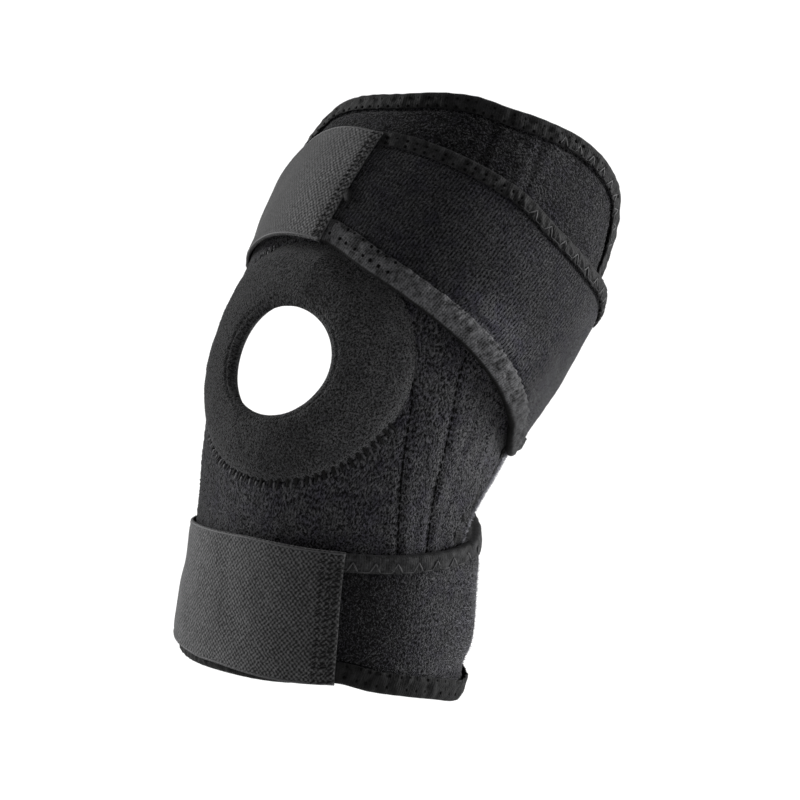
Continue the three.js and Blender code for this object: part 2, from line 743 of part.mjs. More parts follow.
addPiece('body_panel', bodyPanel(), PILE, 0.95);
addPiece('patella_ring', patellaRing(), PILE, 0.92);
addPiece('body_edge_binding', bodyEdgeBinding(), TAPE, 0.8);
addPiece('body_notch_binding', bodyNotchBinding(), TAPE, 0.8);
addPiece('upper_strap', strapWall(upperStrap), KNIT, 0.92);
addPiece('upper_strap_top_binding', strapBinding(upperStrap, 1, STRAP_TOP_TAPE_WIDTH), TAPE, 0.8);
addPiece('upper_strap_low_binding', strapBinding(upperStrap, 0, STRAP_LOW_TAPE_WIDTH), TAPE, 0.8);
addPiece('upper_hook_tab', hookTab(UPPER_TAB_TOP_EDGE, UPPER_TAB_LOW_EDGE, UPPER_TAB_SEAM), HOOK, 0.85);
addPiece('lower_strap', strapWall(lowerStrap), PILE, 0.95);
addPiece('lower_strap_top_binding', strapBinding(lowerStrap, 1, STRAP_TOP_TAPE_WIDTH), TAPE, 0.8);
addPiece('lower_strap_low_binding', strapBinding(lowerStrap, 0, STRAP_LOW_TAPE_WIDTH), TAPE, 0.8);
addPiece('lower_hook_tab', hookTab(LOWER_TAB_TOP_EDGE, LOWER_TAB_LOW_EDGE, LOWER_TAB_SEAM), HOOK, 0.85);

export default brace;
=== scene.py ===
# Open-patella knee brace, held in the form it has on a bent leg.
# Metres, +Z up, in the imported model's frame. The sizes below are millimetres, as in the
# part's source, and MM turns them to metres.

import math
import random

import bmesh
import bpy
import numpy as np
from mathutils import Matrix, Vector
from mathutils.kdtree import KDTree


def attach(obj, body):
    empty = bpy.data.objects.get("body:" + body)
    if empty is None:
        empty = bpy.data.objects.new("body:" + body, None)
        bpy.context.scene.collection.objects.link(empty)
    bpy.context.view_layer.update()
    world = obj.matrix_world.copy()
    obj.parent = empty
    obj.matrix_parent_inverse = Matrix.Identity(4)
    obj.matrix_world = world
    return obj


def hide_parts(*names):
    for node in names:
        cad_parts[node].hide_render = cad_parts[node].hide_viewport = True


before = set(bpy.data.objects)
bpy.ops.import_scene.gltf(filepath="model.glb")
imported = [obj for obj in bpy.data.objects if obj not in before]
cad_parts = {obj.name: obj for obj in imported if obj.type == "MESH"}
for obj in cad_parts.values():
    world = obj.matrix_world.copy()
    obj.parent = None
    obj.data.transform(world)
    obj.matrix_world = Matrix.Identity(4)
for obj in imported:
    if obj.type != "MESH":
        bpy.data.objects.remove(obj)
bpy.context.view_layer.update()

MM = 0.001
ROOT = "root"

# The camera looks at the knee from 30 degrees to its outer side and 12 degrees above it.
CAMERA_TURN = math.radians(30)
CAMERA_RISE = math.radians(12)
CAMERA_ROLL = math.radians(8.3)
CAMERA_DISTANCE = 1.1
LENS = 110.7
SENSOR = 36
SHIFT = (0.0531, 0.02)


def add_camera():
    back = Vector((
        math.sin(CAMERA_TURN) * math.cos(CAMERA_RISE),
        -math.cos(CAMERA_TURN) * math.cos(CAMERA_RISE),
        math.sin(CAMERA_RISE),
    ))
    level = Vector((0, 0, 1)).cross(back).normalized()
    upright = back.cross(level)
    right = level * math.cos(CAMERA_ROLL) + upright * math.sin(CAMERA_ROLL)
    up = upright * math.cos(CAMERA_ROLL) - level * math.sin(CAMERA_ROLL)
    data = bpy.data.cameras.new("camera")
    data.lens = LENS
    data.sensor_width = SENSOR
    data.shift_x, data.shift_y = SHIFT
    camera = bpy.data.objects.new("camera", data)
    turned = Matrix((right, up, back)).transposed().to_4x4()
    camera.matrix_world = Matrix.Translation(back * CAMERA_DISTANCE) @ turned
    bpy.context.scene.collection.objects.link(camera)
    bpy.context.scene.camera = camera


add_camera()

# Driving sizes of the leg space.
BEND = 38
BEND_RADIUS = 110
CALF_REACH = 113
THIGH_REACH = 138
CALF_WIDTH = 118
KNEE_WIDTH = 128
THIGH_WIDTH = 143.5

# Walls, tapes and clearances.
BODY_WALL = 3.5
STRAP_WALL = 3
TAB_WALL = 1.5
TAPE_WALL = 0.7
FOLD_CLEARANCE = 0.4
FOLD = FOLD_CLEARANCE + TAPE_WALL
OVER_TAPE = FOLD + 0.3
BODY_TAPE_WIDTH = 8
STRAP_TOP_TAPE_WIDTH = 6.5
STRAP_LOW_TAPE_WIDTH = 9
STRAP_OVER_BODY = BODY_WALL + OVER_TAPE + FOLD

# Patella ring, channels, flares and tabs.
RING_WIDTH = 118
RING_HEIGHT = 108
RING_ALONG = 7
HOLE_WIDTH = 50.2
HOLE_HEIGHT = 47.6
HOLE_ALONG = 5.4
HOLE_SKEW = 1.0
HOLE_BEVEL = 3
RING_PUFF = 4
CHANNEL_RISE = 0.8
EDGE_FLARE = 2.4
KNEE_SWELL = 1.2
CORNER_FLARE = 1.5
LOWER_WAIST = 2.2
SEAM_LAP = 10
TAB_DESCENT = 46
TAB_LENGTH = 88
TAB_RIM_SIZE = (90, 50)

# Stitches: the zigzag's repeat, half its foot spread, its height, and how far its feet are
# from the tape's free edge; then the overlock round the ring and the channel seams.
ZIGZAG_PITCH = 8.4
ZIGZAG_STEP = 2.0
ZIGZAG_HEIGHT = 4.0
ZIGZAG_FOOT = 0.7
OVERLOCK_PITCH = 4.1
CHANNEL_STITCH = 2.8
CHANNEL_PITCH = 4.2

# Tapes: how square the bend is, how far in from it the edge rolls down, and how far apart
# the short folds are that the seam gathers.
FOLD_POWER = 2.8
ROLL_REACH = 5.5
PUCKER_PITCH = 3.4

# Places round the leg, in degrees from the front, the outer side positive.
SEAM_TURN = -100
NOTCH_DEPTH = 16
RING_TURN = -9.8
HOLE_TURN = -9.7
TAB_END_TURN = -79
KNEE_SWELL_TURNS = (-30, -58)
CORNER_TURNS = (50, 88)
TAB_PRESS_TURNS = (-48, -68)
TAB_PUFF_TURNS = (-30, -50)
STRAP_FIBRE_TURNS = (-278, -228)

# Middle and half length, along the leg, of the inner knee's swell and of the top corner's
# flare; then where a tab's rounded end starts and how narrow its tip is, as shares.
KNEE_SWELL_ALONG = (-3, 22)
CORNER_ALONG = (78, 24)
TAB_ROUND_FROM = 0.86
TAB_TIP_SHARE = 0.55

# Cross-sections of the leg space: share of the reach, zone width, then wide, front and
# back as shares of half that width.
LEG_SECTIONS = (
    (-1.133, CALF_WIDTH, 1.0, 0.873, 0.907),
    (-0.841, CALF_WIDTH, 1.01, 0.949, 0.924),
    (-0.531, CALF_WIDTH, 0.998, 0.966, 0.958),
    (-0.177, KNEE_WIDTH, 0.953, 0.898, 0.898),
    (0.0, KNEE_WIDTH, 1.0, 0.938, 0.914),
    (0.145, KNEE_WIDTH, 1.047, 0.969, 0.945),
    (0.326, THIGH_WIDTH, 0.979, 0.923, 0.88),
    (0.507, THIGH_WIDTH, 1.0, 0.965, 0.908),
    (0.688, THIGH_WIDTH, 1.0, 0.979, 0.944),
    (1.014, THIGH_WIDTH, 0.972, 0.965, 0.972),
)

# Outlines: turn in degrees, then the share of the calf's or the thigh's reach.
BODY_TOP_EDGE = (
    (SEAM_TURN, 0.7), (-76, 0.71), (-60, 0.742), (-48, 0.795), (-35, 0.852), (-7, 0.871),
    (10, 0.913), (20, 0.935), (31, 0.946), (42, 0.969), (60, 1.004), (76, 1.01), (88, 0.985),
    (97, 0.91), (102, 0.81),
)
BODY_OUTER_EDGE = (
    (102, 0.81), (104, 0.62), (107, 0.35), (112, 0.1), (109, -0.08), (97, -0.22),
    (91, -0.38), (86, -0.76),
)
BODY_LOW_EDGE = (
    (SEAM_TURN, -1), (-75, -1.022), (-60, -1.033), (-40, -1.022), (-10, -0.985), (15, -0.955),
    (37, -0.915), (60, -0.91), (75, -0.9), (83, -0.86), (86, -0.76),
)
UPPER_STRAP_TOP_EDGE = (
    (-100, 0.7), (-130, 0.7), (-180, 0.69), (-230, 0.69), (-258, 0.69), (-280, 0.668),
    (-296, 0.667), (-315, 0.693), (-350, 0.698), (-370, 0.685),
)
UPPER_STRAP_LOW_EDGE = (
    (-100, 0.43), (-130, 0.43), (-152, 0.375), (-180, 0.27), (-205, 0.155), (-228, 0.085),
    (-251, 0.034), (-274, 0.113), (-289, 0.163), (-306, 0.199), (-334, 0.235), (-350, 0.257),
    (-366, 0.3), (-380, 0.315),
)
LOWER_STRAP_TOP_EDGE = (
    (-100, -0.372), (-130, -0.336), (-180, -0.305), (-230, -0.34), (-250, -0.355),
    (-267, -0.372), (-280, -0.387), (-293, -0.394), (-306, -0.403), (-325, -0.411),
    (-345, -0.418),
)
LOWER_STRAP_LOW_EDGE = (
    (-100, -1), (-130, -1), (-180, -1), (-230, -1.01), (-252, -1.005), (-265, -1),
    (-280, -0.97), (-296, -0.943), (-309, -0.926), (-323, -0.902), (-345, -0.908),
)
UPPER_TAB_TOP_EDGE = (
    (-79, 0.54), (-60, 0.575), (-48, 0.622), (-40, 0.654), (-28, 0.686), (-18, 0.694),
    (-3, 0.684),
)
UPPER_TAB_LOW_EDGE = (
    (-79, 0.33), (-60, 0.31), (-50, 0.3), (-30, 0.295), (-8, 0.28), (-5, 0.275),
)
LOWER_TAB_TOP_EDGE = (
    (-79, -0.52), (-60, -0.5), (-41, -0.475), (-16, -0.438), (-2, -0.416), (18, -0.398),
    (35, -0.389),
)
LOWER_TAB_LOW_EDGE = (
    (-79, -0.95), (-60, -0.985), (-40, -0.984), (-28, -0.978), (-11, -0.96), (9, -0.943),
    (37, -0.911),
)
UPPER_TAB_SEAM = (-5.5, -1)
LOWER_TAB_SEAM = (36.5, 34.5)

# How the straps lie: turn, share of the full lift over the body, then the flare of the
# low edge, the middle and the top edge.
UPPER_STRAP_LIE = (
    (-100, 0, 0, 0, 0), (-205, 0, 0, 0, 0), (-228, 0.4, 0, 0, 0), (-244, 0.8, 0, 0.1, 0.5),
    (-262, 0.92, 0, 0.1, 0.6), (-275, 1, 0.7, 0.3, 0.3), (-290, 1, 0.7, 0.3, 0),
    (-305, 1, 0.35, 0.15, 0), (-330, 1, 0.05, 0, 0), (-380, 1, 0, 0, 0),
)
LOWER_STRAP_LIE = (
    (-100, 0, 0, 0, 0), (-225, 0, 0, 0, 0), (-245, 0.25, 1.2, 1.2, 0.1),
    (-258, 0.75, 1.4, 1.3, 0), (-267, 1, 1.2, 1.0, 0.2), (-276, 1, 0.8, 0.5, 0.1), (-285, 1, 0.5, 0.2, 0.2),
    (-305, 1, 0.2, 0.1, 0.1), (-345, 1, 0, 0, 0),
)

# Stay channels: turn of the middle line low, at the knee and at the top, half width,
# then the shares of the reaches at which they end.
STAY_CHANNELS = ((66, 55, 40, 9, -0.84, 0.88), (-70, -72, -70, 7, -0.84, 0.6))


# How finely the pieces are divided, and how many loose fibres are tried for.
BODY_GRID = (184, 214)
RING_SIDES = 560
STRAP_COLUMNS = 400
TAB_GRID = (120, 80)
TAPE_SIDE_COLUMNS = 360
STRAP_TAPE_COLUMNS = 560
WAVE_COUNT = 7
KNEE_FIBRES = 5000
STRAP_FIBRES = 2600


# The leg's skin. Every cloth is placed by its turn, its distance along and its lift.
def lerp(a, b, share):
    return a + (b - a) * share


def smoothstep(value, start, end):
    share = np.clip((value - start) / (end - start), 0, 1)
    return share * share * (3 - 2 * share)


def hump(distance, width):
    return np.exp(-((distance / width) ** 2))


def smooth_curve(rows):
    """A curve through (place, value) rows that never overshoots between two of them."""
    xs, ys = np.array(sorted(rows), float).T
    slopes = np.diff(ys) / np.diff(xs)
    tangents = np.empty_like(xs)
    tangents[0], tangents[-1] = slopes[0], slopes[-1]
    product = slopes[:-1] * slopes[1:]
    total = np.where(product > 0, slopes[:-1] + slopes[1:], 1)
    tangents[1:-1] = np.where(product > 0, 2 * product / total, 0)

    def at(value):
        i = np.clip(np.searchsorted(xs, value, side="right") - 1, 0, len(xs) - 2)
        span = xs[i + 1] - xs[i]
        x = np.clip((value - xs[i]) / span, 0, 1)
        x2, x3 = x * x, x * x * x
        return ((2 * x3 - 3 * x2 + 1) * ys[i] + (x3 - 2 * x2 + x) * span * tangents[i]
                + (3 * x2 - 2 * x3) * ys[i + 1] + (x3 - x2) * span * tangents[i + 1])

    return at


def reach(share):
    """Millimetres along the leg for a share of the calf's or the thigh's reach."""
    return share * np.where(np.asarray(share) < 0, CALF_REACH, THIGH_REACH)


def edge_by_turn(rows, shift=0):
    """A strap's or tab's edge: its place along the leg, by turn."""
    return smooth_curve([(turn + shift, float(reach(share))) for turn, share in rows])


def section_curve(column):
    return smooth_curve([(float(reach(row[0])), row[column] * row[1] / 2) for row in LEG_SECTIONS])


wide_at, front_at, back_at = (section_curve(column) for column in (2, 3, 4))


def leg_point(turn, along, lift):
    """The point in metres at a turn in degrees, a distance along and a lift in millimetres."""
    turn, along, lift = np.broadcast_arrays(turn, along, lift)
    angle = np.radians(turn)
    bend = math.radians(BEND)
    half_arc = BEND_RADIUS * bend / 2
    lean = np.clip((along + half_arc) / BEND_RADIUS, 0, bend)
    past = along + half_arc - BEND_RADIUS * lean
    centre_y = BEND_RADIUS * (math.cos(bend / 2) - np.cos(lean)) + past * np.sin(lean)
    centre_z = BEND_RADIUS * (np.sin(lean) - math.sin(bend / 2)) + past * np.cos(lean)
    depth = np.where(np.cos(angle) > 0, front_at(along), back_at(along)) + lift
    across = -depth * np.cos(angle)
    return MM * np.stack([
        (wide_at(along) + lift) * np.sin(angle),
        centre_y + across * np.cos(lean),
        centre_z - across * np.sin(lean),
    ], axis=-1)


KNEE_ARC = math.radians(KNEE_WIDTH / 2)
FRONT_STRETCH = 1 + float(front_at(0)) / BEND_RADIUS


def surface_scale(turn, along):
    """Millimetres on the skin for a degree of turn and for a millimetre along."""
    step = 0.5
    here = leg_point(turn, along, 0)
    turned = np.linalg.norm(leg_point(turn + step, along, 0) - here, axis=-1)
    moved = np.linalg.norm(leg_point(turn, along + step, 0) - here, axis=-1)
    return turned / step / MM, moved / step / MM


def walk(turn, along, direction, distance):
    """The place reached on the skin by going a distance in a unit direction."""
    steps = 6
    for _ in range(steps):
        turn_scale, along_scale = surface_scale(turn, along)
        turn = turn + direction[0] * distance / steps / turn_scale
        along = along + direction[1] * distance / steps / along_scale
    return turn, along


def waves(turn, along, length, seed):
    """Soft random swells of about this length in millimetres, from -1 to 1."""
    chance = random.Random(seed)
    total = 0
    for _ in range(WAVE_COUNT):
        heading = chance.uniform(0, math.tau)
        pace = math.tau / (length * chance.uniform(0.7, 1.6))
        phase = chance.uniform(0, math.tau)
        total = total + np.sin(pace * (turn * KNEE_ARC * math.cos(heading)
                                       + along * math.sin(heading)) + phase)
    return 2 * total / WAVE_COUNT


def nap(shape, depth, seed):
    """Uneven tufts: a random rise for each point of a cloth's grid, in millimetres."""
    return depth * np.random.default_rng(seed).normal(size=shape).clip(-2, 2)


# The body panel, as a patch between its four edges.
NOTCH_LOW = float(reach(LOWER_STRAP_TOP_EDGE[0][1]))
NOTCH_TOP = float(reach(UPPER_STRAP_LOW_EDGE[0][1]))
SEAM_LOW_ROWS = 6
NOTCH_ROWS = 11
SEAM_TOP_ROWS = 3


def edge_curve(rows):
    """A centripetal curve through an outline's rows, by its share of length."""
    points = np.array([(turn * KNEE_ARC, float(reach(share))) for turn, share in rows])
    ends = [2 * points[0] - points[1]], [2 * points[-1] - points[-2]]
    padded = np.concatenate([ends[0], points, ends[1]])
    knots = np.concatenate([[0], np.cumsum(np.linalg.norm(np.diff(padded, axis=0), axis=1) ** 0.5)])
    dense = []
    for i in range(1, len(padded) - 2):
        t0, t1, t2, t3 = knots[i - 1:i + 3]
        p0, p1, p2, p3 = padded[i - 1:i + 3]
        t = np.linspace(t1, t2, 60, endpoint=False)[:, None]
        a1 = (t1 - t) / (t1 - t0) * p0 + (t - t0) / (t1 - t0) * p1
        a2 = (t2 - t) / (t2 - t1) * p1 + (t - t1) / (t2 - t1) * p2
        a3 = (t3 - t) / (t3 - t2) * p2 + (t - t2) / (t3 - t2) * p3
        b1 = (t2 - t) / (t2 - t0) * a1 + (t - t0) / (t2 - t0) * a2
        b2 = (t3 - t) / (t3 - t1) * a2 + (t - t1) / (t3 - t1) * a3
        dense.append((t2 - t) / (t2 - t1) * b1 + (t - t1) / (t2 - t1) * b2)
    dense = np.concatenate(dense + [points[-1:]])
    lengths = np.concatenate([[0], np.cumsum(np.linalg.norm(np.diff(dense, axis=0), axis=1))])

    def at(share):
        length = np.clip(share, 0, 1) * lengths[-1]
        return np.stack([np.interp(length, lengths, dense[:, 0]) / KNEE_ARC,
                         np.interp(length, lengths, dense[:, 1])], axis=-1)

    return at


top_edge, outer_edge, low_edge = (edge_curve(rows) for rows in (
    BODY_TOP_EDGE, BODY_OUTER_EDGE, BODY_LOW_EDGE))


def inner_edge(share):
    row = np.asarray(share, float) * (SEAM_LOW_ROWS + NOTCH_ROWS + SEAM_TOP_ROWS)
    bottom, top = float(reach(BODY_LOW_EDGE[0][1])), float(reach(BODY_TOP_EDGE[0][1]))
    swing = math.pi * np.clip((row - SEAM_LOW_ROWS) / NOTCH_ROWS, 0, 1)
    notch = lerp(NOTCH_LOW, NOTCH_TOP, (1 - np.cos(swing)) / 2)
    low = lerp(bottom, NOTCH_LOW, row / SEAM_LOW_ROWS)
    high = lerp(NOTCH_TOP, top, (row - SEAM_LOW_ROWS - NOTCH_ROWS) / SEAM_TOP_ROWS)
    along = np.where(row < SEAM_LOW_ROWS, low, np.where(row > SEAM_LOW_ROWS + NOTCH_ROWS, high, notch))
    return np.stack([SEAM_TURN + NOTCH_DEPTH * np.sin(swing), along], axis=-1)


def body_place(across, up):
    across, up = np.broadcast_arrays(np.asarray(across, float), np.asarray(up, float))
    a, u = across[..., None], up[..., None]
    corners = low_edge(0), low_edge(1), top_edge(0), top_edge(1)
    place = ((1 - u) * low_edge(across) + u * top_edge(across)
             + (1 - a) * inner_edge(up) + a * outer_edge(1 - up)
             - (1 - a) * (1 - u) * corners[0] - a * (1 - u) * corners[1]
             - (1 - a) * u * corners[2] - a * u * corners[3])
    return place[..., 0], place[..., 1]


def raised(turn, along, turns, middle, half):
    """How far a patch of the skin is raised: 0 before its first turn and 1 past its second,
    fading out up and down the leg."""
    return smoothstep(turn, *turns) * hump(along - middle, half)


def body_face(turn, along):
    """The panel's outer face, with its stay channels, inner knee and top corner raised."""
    share = along / np.where(np.asarray(along) < 0, CALF_REACH, THIGH_REACH)
    rise = 0
    for low, knee, top, half, low_end, top_end in STAY_CHANNELS:
        middle = lerp(knee, np.where(share < 0, low, top), np.abs(share))
        fade = smoothstep(share, low_end, low_end + 0.1) * (1 - smoothstep(share, top_end - 0.1, top_end))
        rise = rise + CHANNEL_RISE * fade * np.exp(-2 * ((turn - middle) / half) ** 2)
    inner_knee = raised(turn, along, KNEE_SWELL_TURNS, *KNEE_SWELL_ALONG)
    top_corner = raised(turn, along, CORNER_TURNS, *CORNER_ALONG)
    return BODY_WALL + rise + KNEE_SWELL * inner_knee + CORNER_FLARE * top_corner


# The patella ring, by its own round and radial shares.
def ring_place(angle, inward, grow=0):
    hole = (HOLE_TURN + (HOLE_WIDTH / 2 * np.cos(angle) + HOLE_SKEW * np.sin(angle)) / KNEE_ARC,
            HOLE_ALONG + HOLE_HEIGHT / 2 * np.sin(angle) / FRONT_STRETCH)
    rim = (RING_TURN + (RING_WIDTH / 2 + grow) * np.cos(angle) / KNEE_ARC,
           RING_ALONG + (RING_HEIGHT / 2 + grow) * np.sin(angle) / FRONT_STRETCH)
    return lerp(rim[0], hole[0], inward), lerp(rim[1], hole[1], inward)


def rim_share(turn, along):
    """Angle round the ring, and distance from its middle as a share of the rim's."""
    x = (turn - RING_TURN) * KNEE_ARC / (RING_WIDTH / 2)
    y = (along - RING_ALONG) * FRONT_STRETCH / (RING_HEIGHT / 2)
    return np.arctan2(y, x), np.hypot(x, y)


strap_cover = edge_by_turn(UPPER_STRAP_LOW_EDGE, 360)


def ring_relief(turn, along):
    """0 where the upper strap and its tab press the ring flat, 1 where it is free."""
    edge = np.where(turn < UPPER_TAB_SEAM[0], float(reach(UPPER_TAB_LOW_EDGE[3][1])), strap_cover(turn))
    return smoothstep(edge - along, 1, 9)


# The straps and tabs.
class Strap:
    """A strap's cloth: where it lies, and the lifts of its two faces."""

    def __init__(self, top_rows, low_rows, lie_rows, seam):
        self.top, self.low = edge_by_turn(top_rows), edge_by_turn(low_rows)
        self.lie = [smooth_curve([(row[0], row[column]) for row in lie_rows]) for column in (1, 2, 3, 4)]
        self.start = SEAM_TURN - 0.3 / KNEE_ARC
        self.seam = seam

    def place(self, forward, up):
        end = lerp(self.seam[0], self.seam[1], up) - SEAM_LAP / KNEE_ARC - 360
        turn = lerp(self.start, end, forward)
        return turn, lerp(self.low(turn), self.top(turn), up)

    def inner(self, turn, along):
        low, top = self.low(turn), self.top(turn)
        up = np.clip((along - low) / (top - low), 0, 1)
        over, low_flare, middle_flare, top_flare = (curve(turn) for curve in self.lie)
        flare = low_flare * (1 - up) ** 2 + middle_flare * 4 * up * (1 - up) + top_flare * up ** 2
        return over * STRAP_OVER_BODY + flare * EDGE_FLARE

    def outer(self, turn, along):
        return self.inner(turn, along) + STRAP_WALL


upper_strap = Strap(UPPER_STRAP_TOP_EDGE, UPPER_STRAP_LOW_EDGE, UPPER_STRAP_LIE, UPPER_TAB_SEAM)
lower_strap = Strap(LOWER_STRAP_TOP_EDGE, LOWER_STRAP_LOW_EDGE, LOWER_STRAP_LIE, LOWER_TAB_SEAM)


class HookTab:
    """A tab: sewn over its strap's end, it comes down to the body and ends round.
    pressed_up is the edge, low 0 or top 1, that press holds down; the other puffs up."""

    def __init__(self, top_rows, low_rows, seam, pressed_up, press, puff):
        self.top, self.low = edge_by_turn(top_rows), edge_by_turn(low_rows)
        self.seam = seam
        self.pressed_up, self.press, self.puff = pressed_up, press, puff

    def place(self, forward, up):
        seam_turn = lerp(self.seam[0], self.seam[1], up)
        turn = lerp(seam_turn, TAB_END_TURN, forward)
        rounding = 1 - np.maximum(0, (forward - TAB_ROUND_FROM) / (1 - TAB_ROUND_FROM)) ** 2
        squeeze = lerp(TAB_TIP_SHARE, 1, np.sqrt(np.maximum(rounding, 0)))
        low, top = self.low(turn), self.top(turn)
        along = (low + top) / 2 + (up - 0.5) * (top - low) * squeeze
        seat = smoothstep((seam_turn - turn) * KNEE_ARC - SEAM_LAP, 0, TAB_DESCENT)
        on_strap = STRAP_OVER_BODY + STRAP_WALL + OVER_TAPE
        pressed_edge = smoothstep(np.abs(up - 1 + self.pressed_up), 0.4, 0.9)
        puffed_edge = smoothstep(np.abs(up - self.pressed_up), 0.3, 1)
        pressed = self.press * smoothstep(turn, *TAB_PRESS_TURNS) * pressed_edge
        pressed = pressed - self.puff * smoothstep(turn, *TAB_PUFF_TURNS) * puffed_edge
        return turn, along, lerp(on_strap, body_face(turn, along) + OVER_TAPE - pressed, seat)


upper_tab = HookTab(UPPER_TAB_TOP_EDGE, UPPER_TAB_LOW_EDGE, UPPER_TAB_SEAM, 0, 1.3, 1.2)
lower_tab = HookTab(LOWER_TAB_TOP_EDGE, LOWER_TAB_LOW_EDGE, LOWER_TAB_SEAM, 1, 1.5, 1.2)


# Meshes. A cloth starts as a flat grid; its places are then laid on the skin.
def shares(count):
    return np.linspace(0, 1, count + 1)


def cloth_lengths(points):
    """Millimetres along and across a grid of points, for the weave to follow."""
    along = np.linalg.norm(np.diff(points, axis=0), axis=-1) / MM
    across = np.linalg.norm(np.diff(points, axis=1), axis=-1) / MM
    u = np.concatenate([np.zeros((1, points.shape[1])), np.cumsum(along, axis=0)])
    v = np.concatenate([np.zeros((points.shape[0], 1)), np.cumsum(across, axis=1)], axis=1)
    middle = points.shape[1] // 2
    return np.stack([np.broadcast_to(u[:, middle:middle + 1], u.shape), v], axis=-1)


def new_mesh(bm, name):
    mesh = bpy.data.meshes.new(name)
    bm.to_mesh(mesh)
    bm.free()
    return mesh


def finish_piece(bm, name, material, nodes=()):
    mesh = new_mesh(bm, name)
    piece = bpy.data.objects.new(name, mesh)
    bpy.context.scene.collection.objects.link(piece)
    mesh.materials.append(material)
    mesh.shade_smooth()
    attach(piece, ROOT)
    if nodes:
        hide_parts(*nodes)
    return piece


FLAT_THICKNESS = 0.01


def place_points(piece, outer, inner, weave, marks):
    """Lay the flat grid's two faces on the skin, and give the weave its millimetres."""
    mesh = piece.data
    count = len(mesh.vertices)
    home = np.empty(count, np.int32)
    mesh.attributes["home"].data.foreach_get("value", home)
    flat = np.empty(count * 3, np.float32)
    mesh.vertices.foreach_get("co", flat)
    is_inner = flat[2::3] < -FLAT_THICKNESS / 2
    outer_points, inner_points = outer.reshape(-1, 3), inner.reshape(-1, 3)
    points = np.where(is_inner[:, None], inner_points[home], outer_points[home])
    mesh.vertices.foreach_set("co", points.astype(np.float32).ravel())
    corners = np.empty(len(mesh.loops), np.int32)
    mesh.loops.foreach_get("vertex_index", corners)
    weave = (cloth_lengths(outer) if weave is None else weave).reshape(-1, 2)[home[corners]]
    mesh.uv_layers.new(name="weave").data.foreach_set("uv", weave.astype(np.float32).ravel())
    for mark, values in marks.items():
        values = np.broadcast_to(values, outer.shape[:-1]).ravel()[home]
        mesh.attributes.new(mark, "FLOAT", "POINT").data.foreach_set("value", values.astype(np.float32))
    mesh.attributes.remove(mesh.attributes["home"])
    mesh.update()
    turn_outward(mesh)


def turn_outward(mesh):
    """Reverse a closed mesh that was laid out inside out."""
    bm = bmesh.new()
    bm.from_mesh(mesh)
    if bm.calc_volume(signed=True) < 0:
        bmesh.ops.reverse_faces(bm, faces=bm.faces[:])
    bm.to_mesh(mesh)
    bm.free()


def flat_grid(columns, rows):
    """A flat grid one unit square, where each point knows its number in the piece's table."""
    bm = bmesh.new()
    home = bm.verts.layers.int.new("home")
    bmesh.ops.create_grid(bm, x_segments=columns, y_segments=rows, size=0.5)
    for vertex in bm.verts:
        column = round((vertex.co.x + 0.5) * columns)
        row = round((vertex.co.y + 0.5) * rows)
        vertex[home] = column * (rows + 1) + row
    return bm, home


def cloth(name, outer, inner, material, nodes=(), cut=None, weave=None, marks={}):
    """A closed wall of cloth between two grids of points. cut marks the faces left out."""
    columns, rows = outer.shape[0] - 1, outer.shape[1] - 1
    bm, home = flat_grid(columns, rows)
    if cut is not None:
        gone = [f for f in bm.faces if all(cut.flat[v[home]] for v in f.verts)]
        bmesh.ops.delete(bm, geom=gone, context="FACES")
    bmesh.ops.solidify(bm, geom=bm.faces[:], thickness=FLAT_THICKNESS)
    piece = finish_piece(bm, name, material, nodes)
    place_points(piece, outer, inner, weave, marks)
    return piece


def padded_ring(name, points, weave_places, painted_lighting, material, nodes):
    """A closed ring through loops of points; both ways round it meets itself."""
    columns, rows = points.shape[0] - 1, points.shape[1] - 1
    bm, home = flat_grid(columns, rows)
    weave = bm.loops.layers.uv.new("weave")
    lengths = weave_places.reshape(-1, 2)
    flat_points = points.reshape(-1, 3)
    painted_lighting = np.broadcast_to(painted_lighting, points.shape[:-1]).ravel()
    # Painted light and shade, kept on the ring's points.
    shade = bm.verts.layers.float.new("painted_lighting")
    for face in bm.faces:
        for corner in face.loops:
            corner[weave].uv = lengths[corner.vert[home]]
    for vertex in bm.verts:
        vertex[shade] = painted_lighting[vertex[home]]
        vertex.co = flat_points[vertex[home]]
    bmesh.ops.remove_doubles(bm, verts=bm.verts[:], dist=1e-6)
    bm.verts.layers.int.remove(home)
    if bm.calc_volume(signed=True) < 0:
        bmesh.ops.reverse_faces(bm, faces=bm.faces[:])
    return finish_piece(bm, name, material, nodes)


def edge_directions(turn, along, side, blur):
    """The way into the cloth at each point of its edge, rounded off at the corners."""
    turn_scale, along_scale = surface_scale(turn, along)
    run = np.gradient(turn) * turn_scale
    rise = np.gradient(along) * along_scale
    if blur > 1:
        kernel = np.ones(blur) / blur
        pad = blur // 2
        run = np.convolve(np.pad(run, pad, mode="edge"), kernel, mode="valid")[:len(turn)]
        rise = np.convolve(np.pad(rise, pad, mode="edge"), kernel, mode="valid")[:len(turn)]
    length = np.hypot(run, rise)
    return -side * rise / length, side * run / length


def fold_rows(width, wall, off, rim_off):
    """(inset, lift, face) round a folded tape, from its outer free edge to its inner one."""
    outer_wing, bend, inner_wing = 10, 8, 3
    radius = wall / 2 + off
    rows = []
    for i in range(outer_wing + 1):
        inset = lerp(width, wall / 2, i / outer_wing)
        press = float(smoothstep(width - inset, 0, 2.2))
        rows.append((inset, lerp(rim_off, off, press), 1))
    for i in range(1, bend):
        angle = math.pi * i / bend
        round_off = (abs(math.sin(angle)) ** FOLD_POWER + abs(math.cos(angle)) ** FOLD_POWER)
        round_off = round_off ** (-1 / FOLD_POWER) * radius
        rows.append((wall / 2 - round_off * math.sin(angle), round_off * math.cos(angle), 0))
    for i in range(inner_wing + 1):
        rows.append((lerp(wall / 2, width, i / inner_wing), -off, -1))
    return rows


